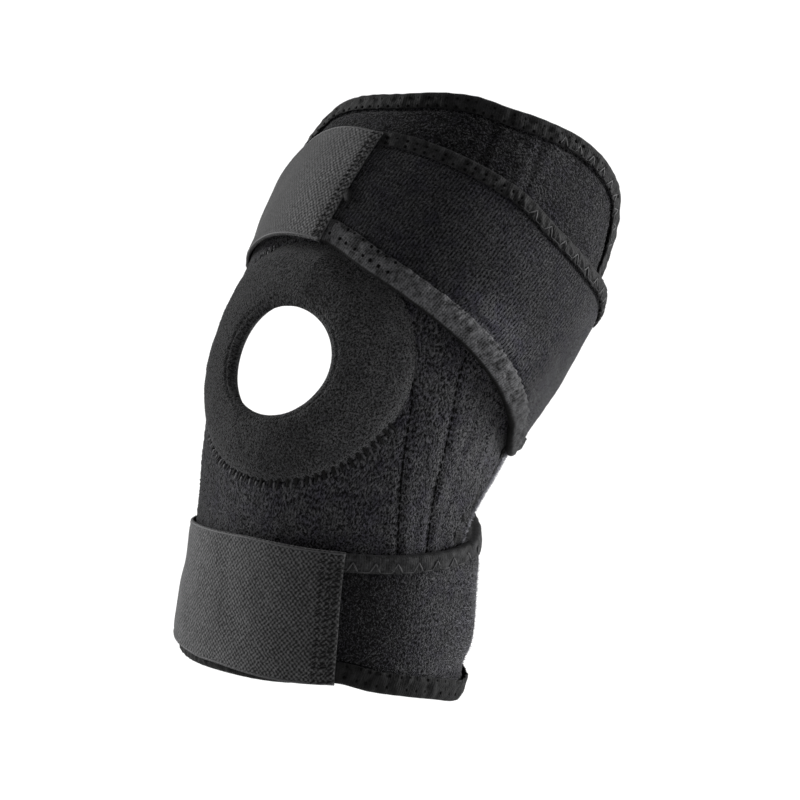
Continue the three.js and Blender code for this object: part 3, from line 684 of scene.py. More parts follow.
# Rows of (turn, value) for a tape with no shade or puckers.
NOWHERE = ((-400, 0), (400, 0))


class Tape:
    """The tape folded over an edge of a cloth, whose faces are given as two functions.
    roll, shade and crinkled: how far its edge rolls down, its painted light and shade by turn
    and its puckers by turn; and the painted shade laid on its bend."""

    def __init__(self, turn, along, side, width, faces, blur=1, roll=0.0, shade=NOWHERE,
                 crinkled=NOWHERE, fold_painted_shade=0):
        self.turn, self.along, self.width, self.faces, self.roll = turn, along, width, faces, roll
        self.shade, self.crinkled = smooth_curve(shade), smooth_curve(crinkled)
        self.fold_painted_shade = fold_painted_shade
        self.direction = edge_directions(turn, along, side, blur)
        turn_scale, along_scale = surface_scale(turn, along)
        steps = np.hypot(np.diff(turn) * turn_scale[:-1], np.diff(along) * along_scale[:-1])
        self.length = np.concatenate([[0], np.cumsum(steps)])

    def place(self, length, inset):
        """The place on the skin at a length along the edge and an inset from it."""
        turn = np.interp(length, self.length, self.turn)
        along = np.interp(length, self.length, self.along)
        direction = [np.interp(length, self.length, part) for part in self.direction]
        return walk(turn, along, direction, inset)

    def stitch_feet(self):
        """(length, inset) where the zigzag goes through the tape: its tops, then its feet."""
        tops = np.arange(ZIGZAG_PITCH, self.length[-1] - ZIGZAG_PITCH, ZIGZAG_PITCH)
        inner = self.width - ZIGZAG_FOOT
        return tops, inner - ZIGZAG_HEIGHT, inner

    def dimples(self, length, inset):
        """How far the zigzag pulls the tape in."""
        tops, high, low = self.stitch_feet()
        phase = (length + ZIGZAG_PITCH / 2) % ZIGZAG_PITCH - ZIGZAG_PITCH / 2
        at_top = hump(np.hypot(phase, (inset - high) * 1.0), 1.0)
        at_feet = hump(np.hypot(np.abs(phase) - ZIGZAG_STEP, inset - low), 0.9)
        between = 0.5 - 0.5 * np.cos(math.tau * phase / ZIGZAG_PITCH)
        return 0.5 * at_top + 0.4 * at_feet - 0.22 * between * smoothstep(inset, -1, 2)

    def build(self, name, node, seed):
        outer_face, inner_face = self.faces
        wall = float(np.mean(outer_face(self.turn, self.along) - inner_face(self.turn, self.along)))
        layers = []
        for off, rim_off in ((FOLD, TAPE_WALL + 0.15), (FOLD_CLEARANCE, 0.15)):
            loops = []
            for inset, lift, face in fold_rows(self.width, wall, off, rim_off):
                turn, along = walk(self.turn, self.along, self.direction, inset)
                outside, inside = outer_face(turn, along), inner_face(turn, along)
                base = np.where(face > 0, outside, np.where(face < 0, inside, (outside + inside) / 2))
                swell = 0.0
                if face >= 0:
                    rolled = self.roll * max(0, 1 - max(inset, wall / 2) / ROLL_REACH) ** 2
                    swell = 0.28 * waves(turn, along, 5, seed) - self.dimples(self.length, inset) - rolled
                    swell = swell + self.crinkles(turn, along, inset, seed)
                    swell = swell * (1 if face > 0 else max(0, lift) / (wall / 2 + off))
                loops.append(leg_point(turn, along, base + lift + swell))
            layers.append(np.stack(loops, axis=1))
        lifts, faces = np.array(fold_rows(self.width, 1, 0, 0)).T[1:]
        # Painted light and shade along the tape; painted shade on its bend and inner wing.
        under = np.where(faces > 0, 0, np.where(faces < 0, 1, smoothstep(-lifts, -0.42, -0.05)))
        marks = {"painted_lighting": self.shade(self.turn)[:, None] + self.fold_painted_shade * under[None, :]}
        return cloth(name, layers[0], layers[1], TAPE, (node,), marks=marks)

    def crinkles(self, turn, along, inset, seed):
        """Short folds across the tape, gathered by its seam."""
        phase = math.tau * self.length / PUCKER_PITCH + 0.5 * inset + 2.4 * waves(turn, along, 11, seed + 1)
        return 0.34 * self.crinkled(turn) * np.sin(phase) * smoothstep(inset, 0.5, self.width * 0.6)

    def length_at(self, turn):
        """The first length along the edge at which it passes this turn."""
        return self.length[np.argmax((self.turn - turn) * (self.turn[0] - turn) <= 0)]

    def needle_holes(self, bm, start, stop):
        """Two rows of black marks that paint the shade in the zigzag's needle holes."""
        for inset, half in ((2.6, 0.7), (self.width - 1.1, 0.7)):
            along = np.arange(start, stop, ZIGZAG_PITCH / 2)
            along = along + np.random.default_rng(7).uniform(-0.5, 0.5, len(along))
            first, last = self.place(along, inset - half), self.place(along + 0.4, inset + half)
            lay_threads(bm, first, last, self.faces[0], FOLD - 0.3, 1.5, 0.35)

    def zigzag(self, bm, start, stop):
        """The zigzag's two legs, then the stitch between its feet."""
        tops, high, low = self.stitch_feet()
        tops = tops[(tops > start) & (tops < stop)]
        for shift in (-ZIGZAG_STEP, ZIGZAG_STEP):
            top = self.place(tops, high)
            foot = self.place(tops + shift, low)
            lay_threads(bm, top, foot, self.faces[0], FOLD - 0.22, 0.8)
        foot = self.place(tops + ZIGZAG_STEP, low)
        following = self.place(tops + ZIGZAG_PITCH - ZIGZAG_STEP, low)
        lay_threads(bm, foot, following, self.faces[0], FOLD - 0.25, 0.4)


def stitch_shape():
    bm = bmesh.new()
    bmesh.ops.create_uvsphere(bm, u_segments=7, v_segments=6, radius=1)
    return new_mesh(bm, "stitch")


STITCH_SHAPE = stitch_shape()


def lay_threads(bm, start, end, face, lift, width, bow=0.35):
    """One rounded thread for each pair of places; its ends go down into the cloth."""
    places = (start, end, ((start[0] + end[0]) / 2, (start[1] + end[1]) / 2))
    first, last, middle = (leg_point(*place, face(*place) + lift) for place in places)
    above = leg_point(*places[2], face(*places[2]) + lift + 1)
    for a, b, m, top in zip(first, last, middle, above):
        run = Vector(b - a)
        if run.length < 1e-5:
            continue
        up = Vector(top - m).normalized()
        side = run.cross(up).normalized()
        up = side.cross(run).normalized()
        centre = Vector(m) + up * (bow * MM * 0.5)
        matrix = Matrix((side * (width * MM / 2), up * (bow * MM), run * 0.56)).transposed().to_4x4()
        one = STITCH_SHAPE.copy()
        one.transform(Matrix.Translation(centre) @ matrix)
        bm.from_mesh(one)
        bpy.data.meshes.remove(one)


def fibre_shape():
    bm = bmesh.new()
    bmesh.ops.create_cone(bm, cap_ends=True, segments=3, radius1=1, radius2=0.3, depth=1)
    bmesh.ops.translate(bm, verts=bm.verts[:], vec=(0, 0, 0.5))
    return new_mesh(bm, "fibre")


FIBRE_SHAPE = fibre_shape()


def lay_fibres(bm, turn, along, lift, seed):
    """Short fibres that stand out of the pile, each leaning its own way."""
    chance = np.random.default_rng(seed)
    count = len(turn)
    lean = chance.uniform(-0.9, 0.9, (2, count))
    height = chance.uniform(0.5, 1.4, count)
    feet = leg_point(turn, along, lift - 0.3)
    tips = leg_point(turn + lean[0], along + lean[1], lift + height)
    for foot, tip in zip(feet, tips):
        run = Vector(tip - foot)
        turned = run.to_track_quat("Z", "Y").to_matrix().to_4x4()
        one = FIBRE_SHAPE.copy()
        one.transform(Matrix.Translation(foot) @ turned
                      @ Matrix.Diagonal((0.13 * MM, 0.13 * MM, run.length, 1)))
        bm.from_mesh(one)
        bpy.data.meshes.remove(one)


def thread_piece(bm, name, material):
    """A piece of laid threads, each a closed shape with its faces outward."""
    bmesh.ops.recalc_face_normals(bm, faces=bm.faces[:])
    return finish_piece(bm, name, material)


# Distances on the panel.
def millimetres_to(points, edge):
    """How far each of the grid's points is from the nearest point of an edge."""
    tree = KDTree(len(edge))
    for i, point in enumerate(edge):
        tree.insert(point, i)
    tree.balance()
    flat = points.reshape(-1, 3)
    return np.array([tree.find(point)[2] for point in flat]).reshape(points.shape[:-1]) / MM


# Materials.
def linear(hex_colour):
    """The linear colour of an sRGB hex value."""
    def channel(value):
        value /= 255
        return value / 12.92 if value <= 0.04045 else ((value + 0.055) / 1.055) ** 2.4
    return [channel(int(hex_colour[i:i + 2], 16)) for i in (0, 2, 4)] + [1.0]


class Finish:
    """A material under construction: add() puts in a node with its settings and links."""

    def __init__(self, name):
        self.material = bpy.data.materials.new(name)
        self.material.use_nodes = True
        self.tree = self.material.node_tree
        self.tree.nodes.clear()

    def add(self, kind, settings=None, links=None):
        node = self.tree.nodes.new("ShaderNode" + kind)
        for key, value in (settings or {}).items():
            if isinstance(key, str) and hasattr(node, key):
                setattr(node, key, value)
            else:
                node.inputs[key].default_value = value
        for key, source in (links or {}).items():
            self.tree.links.new(source, node.inputs[key])
        return node


def close_finish(finish, shader):
    finish.add("OutputMaterial", links={"Surface": shader.outputs[0]})
    return finish.material


def strokes(f, weave, size, slant, length, seed):
    """Noise drawn out into short strokes that slant across the cloth. size is in millimetres."""
    drawn = f.add("Mapping", {"vector_type": "TEXTURE", "Rotation": (0, 0, math.radians(slant)),
                              "Location": (seed, seed, 0), "Scale": (size, size * length, 1)},
                  {"Vector": weave})
    return f.add("TexNoise", {"Scale": 1.0, "Detail": 2, "Roughness": 0.6, "Distortion": 0.35},
                 {"Vector": drawn.outputs[0]}).outputs["Fac"]


def tufts(f, weave, size, slants, length):
    """Height of the loops: strokes that cross, where the higher one covers the lower."""
    first = strokes(f, weave, size, slants[0], length, 3)
    second = strokes(f, weave, size, slants[1], length, 17)
    higher = f.add("Math", {"operation": "MAXIMUM"}, {0: first, 1: second})
    return f.add("MapRange", {"From Min": 0.47, "From Max": 0.735}, {"Value": higher.outputs[0]}).outputs[0]


def apply_painted_lighting(f, colour):
    """The colour made lighter or darker by the painted light and shade stored on the piece: one doubling a
    unit.
    """
    painted_lighting = f.add("Attribute", {"attribute_name": "painted_lighting"}).outputs["Fac"]
    doubled = f.add("Math", {"operation": "POWER", 0: 2.0}, {1: painted_lighting})
    return f.add("VectorMath", {"operation": "SCALE"}, {0: colour, "Scale": doubled.outputs[0]}).outputs[0]


def pile_shader(f, height, dark, light, hue, depth_mm):
    """Matt fibres: dark in the gaps, pale at the tips, with a drifting tint and soft blotches.
    Painted light and shade scale its colour, and show more of its tips where lit, fewer where shaded."""
    place = f.add("TexCoord").outputs["Object"]
    # Painted light and shade, in doublings, stored on the piece's points.
    painted_lighting = f.add("Attribute", {"attribute_name": "painted_lighting"}).outputs["Fac"]
    clumps = f.add("TexNoise", {"Scale": 1 / (2.6 * MM), "Detail": 2}, {"Vector": place})
    uneven = f.add("MapRange", {"From Min": 0.3, "From Max": 0.7, "To Min": -0.55, "To Max": 0.55},
                   {"Value": clumps.outputs["Fac"]})
    lean = f.add("Math", {"operation": "ADD"}, {0: painted_lighting, 1: uneven.outputs[0]})
    sharp = f.add("Math", {"operation": "POWER", 0: 0.7}, {1: lean.outputs[0]})
    height = f.add("Math", {"operation": "POWER"}, {0: height, 1: sharp.outputs[0]}).outputs[0]
    blotch = f.add("TexNoise", {"Scale": 1 / (12 * MM), "Detail": 4, "Roughness": 0.6}, {"Vector": place})
    tint = f.add("TexNoise", {"Scale": 1 / (9 * MM), "Detail": 5, "Roughness": 0.7}, {"Vector": place})
    base = f.add("Mix", {"data_type": "RGBA", 6: linear(dark), 7: linear(light)}, {0: height})
    tint_share = f.add("MapRange", {"From Min": 0.45, "From Max": 0.65, "To Max": 0.8},
                       {"Value": tint.outputs["Fac"]})
    tinted = f.add("Mix", {"data_type": "RGBA", "blend_type": "MULTIPLY", 7: linear(hue)},
                   {0: tint_share.outputs[0], 6: base.outputs[2]})
    rough_shade = f.add("MapRange", {"From Min": 0.3, "From Max": 0.7, "To Min": -0.2, "To Max": 0.2},
                        {"Value": blotch.outputs["Fac"]})
    stops = f.add("Math", {"operation": "MULTIPLY_ADD", 1: 0.75}, {0: painted_lighting, 2: rough_shade.outputs[0]})
    shade = f.add("Math", {"operation": "POWER", 0: 2.0}, {1: stops.outputs[0]})
    colour = f.add("VectorMath", {"operation": "SCALE"},
                   {0: tinted.outputs[2], "Scale": shade.outputs[0]})
    bump = f.add("Bump", {"Strength": 1.0, "Distance": depth_mm * MM}, {"Height": height})
    return f.add("BsdfPrincipled", {
        "Roughness": 0.95, "Specular IOR Level": 0.1, "Sheen Weight": 0.3,
        "Sheen Roughness": 0.25, "Sheen Tint": linear("b4b4b6")},
        {"Base Color": colour.outputs[0], "Normal": bump.outputs[0]})


def loop_pile(name, dark, light, hue, size):
    """Brushed nylon loop pile: matt charcoal tufts with dark gaps and a soft bloom.
    Its loops are 0.5 mm wide; they are drawn half as wide again, as they show in clumps."""
    f = Finish(name)
    height = tufts(f, f.add("UVMap").outputs[0], size, (35, -30), 1.7)
    return close_finish(f, pile_shader(f, height, dark, light, hue, 0.5))


# The direction across the knit's ribs: the strap's length, turned down by 9 degrees.
RIB_SLANT = (0.987, -0.158)


def ribbed_knit(name, dark, light, rib_mm):
    """Brushed stretch knit: fine slanting ribs, broken up by its nap."""
    f = Finish(name)
    weave = f.add("UVMap").outputs[0]
    loops = tufts(f, weave, 0.62, (-4, -22), 2.2)
    split = f.add("SeparateXYZ", links={0: weave})
    pace = math.tau / rib_mm
    across = f.add("Math", {"operation": "MULTIPLY", 1: pace * RIB_SLANT[0]}, {0: split.outputs[0]})
    slanted = f.add("Math", {"operation": "MULTIPLY_ADD", 1: pace * RIB_SLANT[1]},
                    {0: split.outputs[1], 2: across.outputs[0]})
    wobble = f.add("Math", {"operation": "MULTIPLY_ADD", 1: 1.6}, {0: loops, 2: slanted.outputs[0]})
    ribs = f.add("Math", {"operation": "SINE"}, {0: wobble.outputs[0]})
    both = f.add("Math", {"operation": "MULTIPLY_ADD", 1: 0.2}, {0: ribs.outputs[0], 2: loops})
    height = f.add("MapRange", {"From Min": -0.1, "From Max": 1.1}, {"Value": both.outputs[0]}).outputs[0]
    return close_finish(f, pile_shader(f, height, dark, light, "c4c0da", 0.4))


def thread_finish(name, colour, gloss=0.25, roughness=0.6):
    """Filament thread, twisted too finely to show: a little glossy, or matt where it is sunken."""
    f = Finish(name)
    place = f.add("TexCoord").outputs["Object"]
    twist = f.add("TexNoise", {"Scale": 1 / (0.5 * MM), "Detail": 2}, {"Vector": place})
    tone = f.add("MapRange", {"To Min": 0.8, "To Max": 1.2}, {"Value": twist.outputs["Fac"]})
    shade = f.add("VectorMath", {"operation": "SCALE", 0: linear(colour)[:3]}, {"Scale": tone.outputs[0]})
    bump = f.add("Bump", {"Strength": 0.4, "Distance": 0.1 * MM}, {"Height": twist.outputs["Fac"]})
    shader = f.add("BsdfPrincipled", {"Roughness": roughness, "Specular IOR Level": gloss},
                   {"Base Color": shade.outputs[0], "Normal": bump.outputs[0]})
    return close_finish(f, shader)


def knitted_tape(name, dark, light, rib_mm):
    """Fold-over elastic tape, knitted nylon: smooth, slightly satin, handled to a mottle;
    painted light and shade scale its colour.
    """
    f = Finish(name)
    split = f.add("SeparateXYZ", links={0: f.add("UVMap").outputs[0]})
    place = f.add("TexCoord").outputs["Object"]
    ribs = f.add("Math", {"operation": "SINE"}, {0: f.add(
        "Math", {"operation": "MULTIPLY", 1: math.tau / rib_mm}, {0: split.outputs[0]}).outputs[0]})
    fuzz = f.add("TexNoise", {"Scale": 1 / (0.8 * MM), "Detail": 3, "Roughness": 0.6}, {"Vector": place})
    wear = f.add("TexNoise", {"Scale": 1 / (3 * MM), "Detail": 3, "Roughness": 0.6}, {"Vector": place})
    knit = f.add("Math", {"operation": "MULTIPLY_ADD", 1: 0.08}, {0: ribs.outputs[0], 2: fuzz.outputs["Fac"]})
    mottle = f.add("Math", {"operation": "MULTIPLY_ADD", 1: 1.1},
                   {0: wear.outputs["Fac"], 2: knit.outputs[0]})
    share = f.add("MapRange", {"From Min": 0.8, "From Max": 1.3}, {"Value": mottle.outputs[0]})
    colour = f.add("Mix", {"data_type": "RGBA", 6: linear(dark), 7: linear(light)}, {0: share.outputs[0]})
    bump = f.add("Bump", {"Strength": 0.8, "Distance": 0.5 * MM}, {"Height": mottle.outputs[0]})
    shader = f.add("BsdfPrincipled", {
        "Roughness": 0.75, "Specular IOR Level": 0.12, "Sheen Weight": 0.04,
        "Sheen Roughness": 0.4, "Sheen Tint": linear("8c8c90")},
        {"Base Color": apply_painted_lighting(f, colour.outputs[2]), "Normal": bump.outputs[0]})
    return close_finish(f, shader)


def hook_cloth(name, dark, light, float_mm, row_mm):
    """Woven back of the hook tape: matt grey floats over staggered rows, dusty in blotches;
    its knots flattened by a painted washout, and painted light and shade scale it.
    """
    f = Finish(name)
    weave = f.add("UVMap").outputs[0]
    place = f.add("TexCoord").outputs["Object"]
    fuzz = f.add("TexNoise", {"Scale": 1 / (0.9 * MM), "Detail": 3, "Roughness": 0.6}, {"Vector": place})
    wear = f.add("TexNoise", {"Scale": 1 / (10 * MM), "Detail": 4, "Roughness": 0.6}, {"Vector": place})
    wander = f.add("VectorMath", {"operation": "SCALE", "Scale": 1.8}, {0: f.add(
        "TexNoise", {"Scale": 0.35, "Detail": 2}, {"Vector": weave}).outputs["Color"]})
    drawn = f.add("VectorMath", {"operation": "ADD"}, {0: weave, 1: wander.outputs[0]})
    split = f.add("SeparateXYZ", links={0: drawn.outputs[0]})
    floats = f.add("Math", {"operation": "SINE"}, {0: f.add(
        "Math", {"operation": "MULTIPLY", 1: math.tau / float_mm}, {0: split.outputs[0]}).outputs[0]})
    rows = f.add("Math", {"operation": "SINE"}, {0: f.add(
        "Math", {"operation": "MULTIPLY", 1: math.pi / row_mm}, {0: split.outputs[1]}).outputs[0]})
    knots = f.add("Math", {"operation": "MULTIPLY"}, {0: floats.outputs[0], 1: rows.outputs[0]})
    uneven = f.add("Math", {"operation": "MULTIPLY_ADD", 1: 3.0, 2: -1.5}, {0: fuzz.outputs["Fac"]})
    # Painted highlight: the knots flattened where the light washes the weave out.
    painted_washout = f.add("Attribute", {"attribute_name": "painted_washout"}).outputs["Fac"]
    crisp = f.add("MapRange", {"To Min": 0.85, "To Max": 0.25}, {"Value": painted_washout})
    both = f.add("Math", {"operation": "MULTIPLY_ADD"},
                 {0: knots.outputs[0], 1: crisp.outputs[0], 2: uneven.outputs[0]})
    height = f.add("MapRange", {"From Min": -0.55, "From Max": 1.05}, {"Value": both.outputs[0]})
    base = f.add("Mix", {"data_type": "RGBA", 6: linear(dark), 7: linear(light)}, {0: height.outputs[0]})
    shade = f.add("MapRange", {"From Min": 0.3, "From Max": 0.7, "To Min": 0.85, "To Max": 1.15},
                  {"Value": wear.outputs["Fac"]})
    colour = f.add("VectorMath", {"operation": "SCALE"}, {0: base.outputs[2], "Scale": shade.outputs[0]})
    bump = f.add("Bump", {"Strength": 0.8, "Distance": 0.2 * MM}, {"Height": height.outputs[0]})
    shader = f.add("BsdfPrincipled", {
        "Roughness": 0.85, "Specular IOR Level": 0.2, "Sheen Weight": 0.1,
        "Sheen Roughness": 0.5, "Sheen Tint": linear("b0b0b2")},
        {"Base Color": apply_painted_lighting(f, colour.outputs[0]), "Normal": bump.outputs[0]})
    return close_finish(f, shader)


PILE = loop_pile("nylon_loop_pile", "030304", "58585a", "c8c2dc", 0.76)
RING_COVER = loop_pile("brushed_ring_cover", "0a0a0a", "4b4b4c", "dcdce0", 0.64)
KNIT = ribbed_knit("ribbed_stretch_knit", "030304", "48484a", 1.25)
TAPE = knitted_tape("knitted_fold_over_tape", "060606", "242425", 1.1)
HOOK = hook_cloth("woven_hook_tape_back", "060606", "5d5d5e", 2.1, 1.2)
# The zigzag thread is black; its grey colour paints the sheen it catches.
BLACK_THREAD_PAINTED_SHEEN = thread_finish("black_thread_painted_grey_sheen", "323233")
PALE_TUFT = thread_finish("raised_loop_tufts", "333335")
SELVEDGE = thread_finish("woven_selvedge_cord", "3a3a3b")
TAB_THREAD = thread_finish("dark_tab_thread", "0d0d0d", 0.15, 0.8)
OVERLOCK_THREAD = thread_finish("charcoal_overlock_thread", "0b0b0b", 0.15, 0.8)
# Black thread for the channel seams; the same black marks paint the shade in the tapes' needle holes.
DARK_THREAD_AND_HOLE_SHADE = thread_finish("black_thread_and_painted_hole_shade", "030303", 0.06, 0.9)
# Loose pile fibres, pale to paint the bright rim they show against the light.
FIBRE_PAINTED_RIM_LIGHT = thread_finish("pile_fibre_painted_rim_light", "77777c")


# The body panel.
def seam_ticks(angle, count):
    """1 where an overlock stitch crosses the ring's seam, 0 between the stitches."""
    return 0.5 + 0.5 * np.cos(angle * count)


OVERLOCK_COUNT = round(math.pi * (RING_WIDTH + RING_HEIGHT) / 2 / OVERLOCK_PITCH)

# Seams that sew the outer stay channel down: (turn, along) in degrees and millimetres.
CHANNEL_SEAMS = (
    ((30, 112), (32.5, 70), (36, 22), (45, 6), (49.5, -12), (54.5, -34.5), (57, -50)),
    ((47, 113), (53, 60), (57.5, 21), (64, 1.5), (67, -16), (69.5, -36), (71, -50)),
)


def body_painted_shade(turn, along):
    """Painted shade on the panel's pile: along its top, at its top corner and beside the inner knee."""
    top = -1.15 * smoothstep(along, 84, 100) * (1 - smoothstep(turn, 32, 60))
    corner = -0.75 * smoothstep(along, 74, 96) * smoothstep(turn, 46, 66)
    side = -0.8 * smoothstep(turn, -20, -45)
    return top + corner + side


# Painted light on the ring's outer side and painted shade on its inner side.
def ring_painted_light_and_shade(turn, along):
    return 0.75 * smoothstep(turn, 2, 30) - 0.35 * smoothstep(turn, -24, -45)


def upper_strap_painted_light_and_shade(turn, along):
    """Painted light on the stretch knit where the strap turns under the knee's side, low on
    the strap; painted shade at its front and further round.
    """
    turn = turn + 360
    low = 1.1 * smoothstep(turn, 36, 58) * (1 - smoothstep(turn, 62, 84)) * (1 - smoothstep(along, 38, 56))
    return low - 0.3 * (1 - smoothstep(turn, 25, 45)) - 0.25 * smoothstep(turn, 62, 74)


def lower_strap_painted_shade(turn, along):
    """Painted shade on the strap's pile beside the tab's seam, and a little all along it."""
    return -1.35 * (1 - smoothstep(turn + 360, 42, 74)) - 0.2


def seam_turn(seam, along):
    return smooth_curve([(row[1], row[0]) for row in seam])(along)


def body_outline():
    """The edge that the long tape binds: over the top, down the outer side, and below."""
    steps = shares(TAPE_SIDE_COLUMNS)
    top = body_place(steps, 1)
    outer = body_place(1, 1 - steps)
    low = body_place(1 - steps, 0)
    turn = np.concatenate([top[0][:-1], outer[0][:-1], low[0]])
    along = np.concatenate([top[1][:-1], outer[1][:-1], low[1]])
    return turn, along


def flat_inner(turn, along):
    return 0 * turn


BODY_FACES = (body_face, flat_inner)
# The tape's painted light and shade by turn, then its puckers by turn.
body_tape = Tape(*body_outline(), -1, BODY_TAPE_WIDTH, BODY_FACES, blur=13,
                 shade=((-110, -2.2), (5, -1.9), (24, -0.5), (44, -0.2), (80, -0.4), (120, -0.5)),
                 crinkled=((-110, 0.2), (24, 0.2), (60, 0.7), (95, 0.3), (120, 0)))
notch_rows = np.linspace(SEAM_LOW_ROWS, SEAM_LOW_ROWS + NOTCH_ROWS, 110)
notch_rows = notch_rows / (SEAM_LOW_ROWS + NOTCH_ROWS + SEAM_TOP_ROWS)
notch_tape = Tape(*body_place(0, notch_rows), -1, BODY_TAPE_WIDTH, BODY_FACES)


def knee_edge_cover(turn, along):
    """1 at the side of the knee, where the pile fluffs up over the edge's tape."""
    return smoothstep(turn, 76, 84) * smoothstep(along, -52, -44) * (1 - smoothstep(along, 12, 22))


def seam_shows(turn, along):
    """1 where the ring's seam shows as stitches, 0 where the pile hides it."""
    return np.where(turn > 0, 1 - smoothstep(along, -10, 2), 1.0)


def body_relief(turn, along, angle, share):
    """What the seams, the stays and the handling do to the panel's outer face."""
    free = ring_relief(turn, along)
    distance = np.abs(share - 1) * RING_WIDTH / 2
    shown = seam_shows(turn, along)
    ticks = seam_ticks(angle, OVERLOCK_COUNT)
    rim_groove = -(0.1 + 0.4 * shown + 0.7 * ticks * shown) * hump(distance, 1.7)
    rim_bank = 0.3 * free * hump(distance - 3.6, 2.0)
    beneath = strap_cover(turn) - along
    strap_groove = -1.2 * hump(beneath - 1.5, 3.2) * smoothstep(turn, 0, 20)
    lift = rim_groove + rim_bank + strap_groove
    for seam in CHANNEL_SEAMS:
        off = (turn - seam_turn(seam, along)) * KNEE_ARC
        channel_groove = -0.75 * hump(off, 1.3)
        channel_bank = 0.28 * hump(np.abs(off) - 3.4, 1.9)
        lift = lift + channel_groove + channel_bank
    side = smoothstep(turn, 50, 75) * smoothstep(along, -75, -40) * (1 - smoothstep(along, 20, 60))
    folds = np.sin(math.tau * (turn + 0.10 * along) / 9.5 + 0.6 * waves(turn, along, 30, 21))
    lift = lift + side * (0.22 * folds + 0.26 * waves(turn, along, 8, 23))
    edge = millimetres_to(leg_point(turn, along, 0), leg_point(body_tape.turn, body_tape.along, 0))
    beside = 1 - knee_edge_cover(turn, along)
    tape_groove = hump(edge - BODY_TAPE_WIDTH - 0.2, 1.0)
    under_tape = 0.5 * smoothstep(-edge, -BODY_TAPE_WIDTH, -2)
    over_tape = FOLD * smoothstep(-edge, -16, -8)
    lift = lift - beside * (tape_groove + under_tape) + (1 - beside) * over_tape
    return lift + 0.2 * waves(turn, along, 24, 3) + 0.1 * waves(turn, along, 7, 5)


def body_panel():
    """The panel's cloth, cut out under the ring, with its seams, folds and nap."""
    across, up = shares(BODY_GRID[0])[:, None], shares(BODY_GRID[1])[None, :]
    turn, along = body_place(across, up)
    angle, share = rim_share(turn, along)
    cut = share < 0.985
    near_cut = (share > 0.9) & cut
    rim_turn, rim_along = ring_place(angle, 0, 0.2)
    turn = np.where(near_cut, rim_turn, turn)
    along = np.where(near_cut, rim_along, along)
    angle, share = rim_share(turn, along)
    rise = nap(turn.shape, 0.16, 1) * smoothstep(share, 1, 1.06)
    lift = body_face(turn, along) + body_relief(turn, along, angle, share) + rise
    lip = 2.0 / KNEE_ARC * knee_edge_cover(turn, along) * smoothstep(across, 0.93, 1)
    outer = leg_point(turn + lip, along, lift)
    inner = leg_point(turn, along, 0)
    weave = np.stack([turn * KNEE_ARC, along], axis=-1)
    # The panel's painted shade goes on its points.
    return cloth("body_panel_cloth", outer, inner, PILE, ("body_panel",), cut, weave,
                 {"painted_lighting": body_painted_shade(turn, along)})


body = body_panel()
body_edge = body_tape.build("body_edge_tape", "body_edge_binding", 31)
body_notch = notch_tape.build("body_notch_tape", "body_notch_binding", 32)


def patella_ring():
    """The ring's pad: over its crown from the rim to the hole, and back beneath."""
    angle = shares(RING_SIDES)[:, None] * math.tau
    bevel = 2 * HOLE_BEVEL / (RING_WIDTH - HOLE_WIDTH)
    crown = smooth_curve(((0, 0), (0.03, 0.22), (0.12, 0.66), (0.35, 0.95), (0.6, 1), (0.85, 0.87),
                          (0.95, 0.5), (1, 0)))
    outward = np.concatenate([
        np.linspace(0, 0.12, 10), np.linspace(0.145, 0.88, 27), np.linspace(0.89, 1, 14)])
    under = np.linspace(1 - bevel, 0, 8)
    inward = np.concatenate([outward, under])[None, :]
    is_outer = (np.arange(inward.shape[1]) < len(outward))[None, :]
    turn, along = ring_place(angle, inward)
    relief = ring_relief(turn, along)
    ticks = seam_ticks(angle, OVERLOCK_COUNT)
    puff = RING_PUFF * (1 - 0.3 * smoothstep(turn, 8, 34))
    top = body_face(turn, along) + puff * crown(inward) * relief
    shown = seam_shows(turn, along)
    rim_groove = (0.1 + 0.2 * shown + ticks * shown) * hump(inward, 0.055) * lerp(0.5, 1, relief)
    hole_groove = 0.4 * hump(inward - 0.915, 0.014) * is_outer
    crest = smoothstep(inward, 0.05, 0.2) * is_outer
    swells = relief * crest * (0.22 * waves(turn, along, 18, 8) + 0.08 * waves(turn, along, 6, 9))
    top = top - rim_groove - hole_groove + swells + crest * nap(top.shape, 0.07, 2)
    points = leg_point(turn, along, np.where(is_outer, top, 0))
    points = np.concatenate([points, points[:, :1]], axis=1)
    points[-1] = points[0]
    weave = np.stack([turn * KNEE_ARC, along * FRONT_STRETCH], axis=-1)
    weave = np.concatenate([weave, weave[:, :1]], axis=1)
    # The ring cover's painted light and shade.
    painted_lighting = ring_painted_light_and_shade(turn, along)
    painted_lighting = np.concatenate([painted_lighting, painted_lighting[:, :1]], axis=1)
    return padded_ring("patella_ring_pad", points, weave, painted_lighting, RING_COVER,
                       ("patella_ring",))


ring = patella_ring()


def overlock():
    """The overlock stitches that join the ring to the panel, where no strap hides them."""
    bm = bmesh.new()
    angle = np.arange(OVERLOCK_COUNT) / OVERLOCK_COUNT * math.tau
    turn, along = ring_place(angle, 0)
    angle = angle[(ring_relief(turn, along) > 0.02) & (seam_shows(turn, along) > 0.3)]
    chance = np.random.default_rng(5)
    sizes = chance.uniform(0.75, 1.2, len(angle))
    angle = angle + chance.uniform(-0.008, 0.008, len(angle))
    start = ring_place(angle + 0.014, 0, -3.0 * sizes)
    end = ring_place(angle - 0.014, 0, 2.6 * sizes)
    lay_threads(bm, start, end, body_face, 0.2, 1.4, 0.35)
    return thread_piece(bm, "ring_overlock_stitches", OVERLOCK_THREAD)


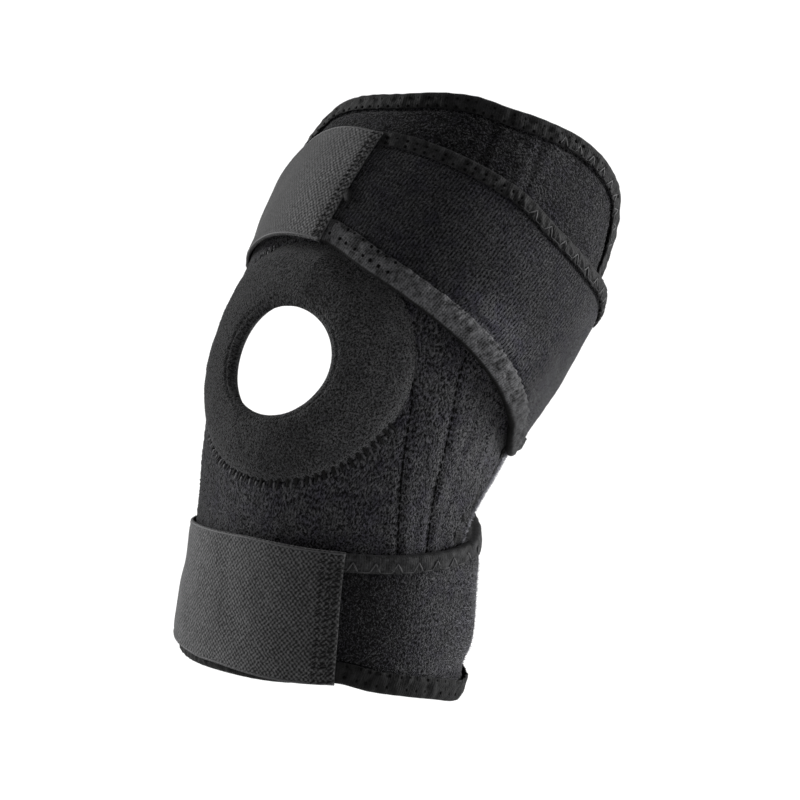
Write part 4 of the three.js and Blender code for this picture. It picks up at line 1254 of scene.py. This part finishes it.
def seam_tufts():
    """Loops of pile that stand up between the overlock stitches."""
    bm = bmesh.new()
    angle = (np.arange(OVERLOCK_COUNT) + 0.5) / OVERLOCK_COUNT * math.tau
    turn, along = ring_place(angle, 0)
    angle = angle[(ring_relief(turn, along) > 0.02) & (seam_shows(turn, along) > 0.3)]
    chance = np.random.default_rng(6)
    for shift, grow in ((-0.006, 1.6), (0.008, -1.2)):
        sizes = chance.uniform(0.6, 1.3, len(angle))
        turned = angle + shift + chance.uniform(-0.01, 0.01, len(angle))
        start = ring_place(turned, 0, grow - 1.3 * sizes)
        end = ring_place(turned - 0.01, 0, grow + 1.3 * sizes)
        lay_threads(bm, start, end, body_face, 0.1, 1.1, 0.4)
    return thread_piece(bm, "ring_seam_tufts", PALE_TUFT)


def channel_stitches():
    """The stitches that show below the strap in the outer channel's two seams."""
    bm = bmesh.new()
    for seam in CHANNEL_SEAMS:
        along = np.arange(-50, 26, CHANNEL_PITCH / FRONT_STRETCH)
        ahead = along + CHANNEL_STITCH / FRONT_STRETCH
        lay_threads(bm, (seam_turn(seam, along), along), (seam_turn(seam, ahead), ahead), body_face,
                    -0.35, 1.0, 0.35)
    return thread_piece(bm, "stay_channel_stitches", DARK_THREAD_AND_HOLE_SHADE)


overlock()
seam_tufts()
channel_piece = channel_stitches()


def body_fibres():
    """The pile that fluffs up over the panel's edge at the side of the knee."""
    bm = bmesh.new()
    chance = np.random.default_rng(14)
    across = chance.uniform(0.93, 1, KNEE_FIBRES)
    turn, along = body_place(across, chance.uniform(0.2, 0.8, KNEE_FIBRES))
    cover = knee_edge_cover(turn, along) * smoothstep(turn, 88, 98)
    kept = chance.uniform(0, 1, len(turn)) < cover
    turn, along = turn[kept], along[kept]
    lay_fibres(bm, turn, along, body_face(turn, along) + FOLD + 0.2, 15)
    return thread_piece(bm, "knee_edge_fibres", FIBRE_PAINTED_RIM_LIGHT)


fibre_piece = body_fibres()


def waist_depth(turn, from_low, depth):
    """How far a strap is drawn in above its low tape, at its outer side."""
    side = smoothstep(turn + 360, 74, 90) * (1 - smoothstep(turn + 360, 130, 150))
    return depth * side * hump(from_low - 14, 7)


def strap_cloth(name, strap, material, node, rows, seed, tuft_depth, shade, waist):
    """A strap's cloth, drawn in beside its tapes and at its waist."""
    forward, up = shares(STRAP_COLUMNS)[:, None], shares(rows)[None, :]
    turn, along = strap.place(forward, up)
    width = np.linalg.norm(leg_point(*strap.place(forward, 1), 0) - leg_point(*strap.place(forward, 0), 0),
                           axis=-1) / MM
    from_low, from_top = up * width, (1 - up) * width
    swell = 0.22 * waves(turn, along, 22, seed) * np.sin(math.pi * up)
    swell = swell - waist_depth(turn, from_low, waist)
    for inset, tape_width in ((from_low, STRAP_LOW_TAPE_WIDTH), (from_top, STRAP_TOP_TAPE_WIDTH)):
        tape_groove = 0.9 * hump(inset - tape_width - 0.2, 1.0)
        under_tape = 0.5 * (inset < tape_width - 1)
        swell = swell - tape_groove - under_tape
    outer = leg_point(turn, along, strap.outer(turn, along) + swell + nap(swell.shape, tuft_depth, seed))
    inner = leg_point(turn, along, strap.inner(turn, along) + 0 * swell)
    weave = np.stack([turn * KNEE_ARC, along], axis=-1)
    # The strap's painted light and shade go on its points.
    return cloth(name, outer, inner, material, (node,), weave=weave,
                 marks={"painted_lighting": shade(turn, along)})


upper_cloth = strap_cloth("upper_strap_cloth", upper_strap, KNIT, "upper_strap",
                          72, 11, 0.05, upper_strap_painted_light_and_shade, 0)
lower_cloth = strap_cloth("lower_strap_cloth", lower_strap, PILE, "lower_strap",
                          62, 12, 0.12, lower_strap_painted_shade, LOWER_WAIST)


def strap_fibres():
    """The pile of the lower strap where it stands against the light."""
    bm = bmesh.new()
    chance = np.random.default_rng(16)
    turn = chance.uniform(*STRAP_FIBRE_TURNS, STRAP_FIBRES)
    up = chance.uniform(0.2, 0.84, STRAP_FIBRES)
    along = lerp(lower_strap.low(turn), lower_strap.top(turn), up)
    from_low = (along - lower_strap.low(turn)) * surface_scale(turn, along)[1]
    lift = lower_strap.outer(turn, along) - waist_depth(turn, from_low, LOWER_WAIST)
    lay_fibres(bm, turn, along, lift - 0.35, 17)
    return thread_piece(bm, "strap_edge_fibres", FIBRE_PAINTED_RIM_LIGHT)


strap_fibre_piece = strap_fibres()


def strap_tape(strap, up, side, width, roll, shade, crinkled, fold_painted_shade=0):
    """The tape of a strap's top edge, up 1, or of its low edge, up 0."""
    turn, along = strap.place(shares(STRAP_TAPE_COLUMNS), up)
    return Tape(turn, along, side, width, (strap.outer, strap.inner), roll=roll, shade=shade,
                crinkled=crinkled, fold_painted_shade=fold_painted_shade)


# Each tape: painted light and shade by turn, then puckers by turn; the upper low tape also gets painted shade
# on its bend.
upper_top = strap_tape(upper_strap, 1.0, 1, STRAP_TOP_TAPE_WIDTH, 0.3, ((-400, -0.05), (-90, -0.05)),
                       ((-400, 0), (-330, 0), (-312, 0.9), (-270, 0.9), (-90, 0.4)))
upper_low = strap_tape(upper_strap, 0.0, -1, STRAP_LOW_TAPE_WIDTH, 1.6,
                       ((-400, 1.6), (-340, 2.2), (-318, 2.5), (-292, 2.4), (-266, 1.3), (-90, 0)),
                       ((-400, 0), (-330, 0.3), (-312, 1.2), (-290, 1.6), (-262, 0.9), (-90, 0.4)), -5)
lower_top = strap_tape(lower_strap, 1.0, 1, STRAP_TOP_TAPE_WIDTH, 0.3, ((-400, 0.55), (-90, 0.4)),
                       ((-400, 0), (-90, 0.1)))
lower_low = strap_tape(lower_strap, 0.0, -1, STRAP_LOW_TAPE_WIDTH, 0.3,
                       ((-400, -2.2), (-315, -2.0), (-280, -1.2), (-90, -0.6)), ((-400, 0.2), (-90, 0.4)))
upper_top_piece = upper_top.build("upper_strap_top_tape", "upper_strap_top_binding", 33)
upper_low_piece = upper_low.build("upper_strap_low_tape", "upper_strap_low_binding", 34)
lower_top_piece = lower_top.build("lower_strap_top_tape", "lower_strap_top_binding", 35)
lower_low_piece = lower_low.build("lower_strap_low_tape", "lower_strap_low_binding", 36)


def zigzags_painted_sheen():
    """The zigzags of the tapes where their thread lies on the surface, grey to paint its sheen."""
    bm = bmesh.new()
    body_tape.zigzag(bm, body_tape.length_at(46), body_tape.length_at(100))
    upper_top.zigzag(bm, 0, upper_top.length_at(-312))
    upper_low.zigzag(bm, 0, upper_low.length_at(-250))
    lower_top.zigzag(bm, 0, lower_top.length[-1])
    notch_tape.zigzag(bm, 0, notch_tape.length[-1])
    return thread_piece(bm, "tape_zigzag_stitches", BLACK_THREAD_PAINTED_SHEEN)


def paint_needle_hole_shade():
    """Black marks that paint the shade in the tapes' needle holes."""
    bm = bmesh.new()
    body_tape.needle_holes(bm, 6, body_tape.length_at(88))
    upper_top.needle_holes(bm, upper_top.length_at(-312), upper_top.length[-1] - 4)
    upper_low.needle_holes(bm, upper_low.length_at(-340), upper_low.length[-1] - 4)
    lower_low.needle_holes(bm, 4, lower_low.length[-1] - 4)
    return thread_piece(bm, "tape_needle_hole_shade_marks", DARK_THREAD_AND_HOLE_SHADE)


zigzag_piece = zigzags_painted_sheen()
hole_shade_piece = paint_needle_hole_shade()


TAB_STATIONS = (0, 0.12, 0.4, 1)


def hook_tab(name, tab, node, shade, painted_washout):
    """A tab's cloth. Its painted light and shade and its painted washout are given at four
    stations from its seam to its end.
    """
    forward, up = shares(TAB_GRID[0])[:, None], shares(TAB_GRID[1])[None, :]
    turn, along, lift = tab.place(forward, up)
    from_end = np.minimum(forward, 1 - forward) * TAB_RIM_SIZE[0]
    from_side = np.minimum(up, 1 - up) * TAB_RIM_SIZE[1]
    edge = 0.5 * hump(np.minimum(from_end, from_side), 1.0)
    hem = 0.25 * hump(from_side - 0.8, 0.8) - 0.2 * hump(from_side - 2.4, 0.7)
    seam = -0.3 * hump(forward * TAB_RIM_SIZE[0] - 2.2, 0.9)
    swell = 0.15 * waves(turn, along, 16, 41)
    outer = leg_point(turn, along, lift + TAB_WALL - edge + hem + seam + swell)
    inner = leg_point(turn, along, lift + edge * 0.4)
    marks = {"painted_lighting": np.interp(forward, TAB_STATIONS, shade),
             "painted_washout": np.interp(forward, TAB_STATIONS, painted_washout)}
    return cloth(name, outer, inner, HOOK, (node,), marks=marks)


# The tabs' painted light and shade, then their painted washout, from seam to end.
upper_tab_piece = hook_tab("upper_tab_cloth", upper_tab, "upper_hook_tab",
                           (0, 0.2, -1.3, -1.75), (0.2, 0.3, 0.8, 1))
lower_tab_piece = hook_tab("lower_tab_cloth", lower_tab, "lower_hook_tab",
                           (-1.2, -0.5, 0, 0), (0.1, 0, 0.2, 1))
# Rows of stitches across each tab's seam: distance from its edge and half length.
TAB_SEAM_ROWS = (
    (upper_tab, ((1.4, 0.6), (3.2, 0.7))),
    (lower_tab, ((1.5, 0.7), (3.6, 0.9), (5.8, 0.7))),
)
TAB_SEAM_STITCHES = 22
SELVEDGE_STEP = 0.02
FOLDED_END_SIZE = (2.3, 3.4, 1.2)


def tab_stitches():
    """Uneven stitches across each tab's seam end, level with one another."""
    bm = bmesh.new()
    chance = np.random.default_rng(9)
    count = TAB_SEAM_STITCHES
    for tab, rows in TAB_SEAM_ROWS:
        for inset, half in rows:
            up = np.linspace(0.03, 0.97, count) + chance.uniform(-0.012, 0.012, count)
            lean = chance.uniform(0.004, 0.016, count)
            sizes = half * chance.uniform(0.5, 1.3, count)
            start = tab.place((inset - sizes) / TAB_LENGTH, up + lean)
            end = tab.place((inset + sizes) / TAB_LENGTH, up - lean)
            lift = float(start[2].mean()) + TAB_WALL
            lay_threads(bm, start[:2], end[:2], lambda turn, along: lift, 0.0, 0.9, 0.22)
    return thread_piece(bm, "tab_seam_stitches", TAB_THREAD)


def selvedges():
    """The woven cord along each long edge of the tabs."""
    bm = bmesh.new()
    for tab in (upper_tab, lower_tab):
        for up in (0.012, 0.988):
            forward = np.arange(0.0, TAB_ROUND_FROM, SELVEDGE_STEP)
            start, end = tab.place(forward, up), tab.place(forward + 1.5 * SELVEDGE_STEP, up)
            lift = (start[2] + end[2]) / 2 + TAB_WALL
            lay_threads(bm, start[:2], end[:2], lambda turn, along: lift, -0.35, 0.9, 0.3)
    return thread_piece(bm, "tab_selvedge_cords", SELVEDGE)


selvedge_piece = selvedges()


def tape_end():
    """The folded end of a tape that sticks out of the upper tab's seam."""
    bm = bmesh.new()
    turn, along, lift = upper_tab.place(0, 0.42)
    centre = Vector(leg_point(turn + 1.0, along, lift + 0.2))
    outward = (Vector(leg_point(turn, along, lift + 10)) - Vector(leg_point(turn, along, lift))).normalized()
    up = (Vector(leg_point(turn, along + 5, lift)) - Vector(leg_point(turn, along, lift))).normalized()
    side = up.cross(outward)
    wide, tall, thick = (size * MM for size in FOLDED_END_SIZE)
    matrix = Matrix((side * wide, (up - side * 0.4) * tall, outward * thick)).transposed().to_4x4()
    bmesh.ops.create_uvsphere(bm, u_segments=20, v_segments=12, radius=1,
                              matrix=Matrix.Translation(centre) @ matrix)
    return thread_piece(bm, "folded_tape_end", TAPE)


folded_end = tape_end()
tab_seams = tab_stitches()

# Floor, world and lights.
FLOOR_DROP = 0.45
FLOOR_SIZE = 80
FLOOR_GLOW = 0.15
WORLD_STRENGTH = 0.17

# Suns: name, turn and rise in degrees, strength, and spread in degrees.
SUNS = (
    ("left_strip", -84, 10.5, 5.7, 35),
    ("right_strip", 137, 10.5, 6.8, 35),
    ("right_fill", 80, 14, 0.9, 60),
)


def add_stage():
    bm = bmesh.new()
    bmesh.ops.create_grid(bm, x_segments=1, y_segments=1, size=FLOOR_SIZE / 2)
    bmesh.ops.translate(bm, verts=bm.verts[:], vec=(0, 0, -FLOOR_DROP))
    mesh = new_mesh(bm, "floor")
    floor = bpy.data.objects.new("floor", mesh)
    bpy.context.scene.collection.objects.link(floor)
    f = Finish("pale_matt_floor")
    shader = f.add("BsdfPrincipled", {"Base Color": linear("f8f8f8"), "Roughness": 0.9,
                                      "Specular IOR Level": 0.0, "Emission Strength": FLOOR_GLOW,
                                      "Emission Color": linear("ffffff")})
    mesh.materials.append(close_finish(f, shader))
    world = bpy.data.worlds.new("studio")
    world.use_nodes = True
    sky = world.node_tree.nodes["Background"]
    sky.inputs["Color"].default_value = linear("ffffff")
    sky.inputs["Strength"].default_value = WORLD_STRENGTH
    bpy.context.scene.world = world


def add_sun(name, turn, rise, strength, spread):
    data = bpy.data.lights.new(name, "SUN")
    data.energy = strength
    data.angle = math.radians(spread)
    light = bpy.data.objects.new(name, data)
    turn, rise = math.radians(turn), math.radians(rise)
    toward = Vector((math.sin(turn) * math.cos(rise), -math.cos(turn) * math.cos(rise), math.sin(rise)))
    light.rotation_euler = toward.to_track_quat("Z", "Y").to_euler()
    bpy.context.scene.collection.objects.link(light)


add_stage()
for sun in SUNS:
    add_sun(*sun)
bpy.context.scene.view_settings.view_transform = "Standard"
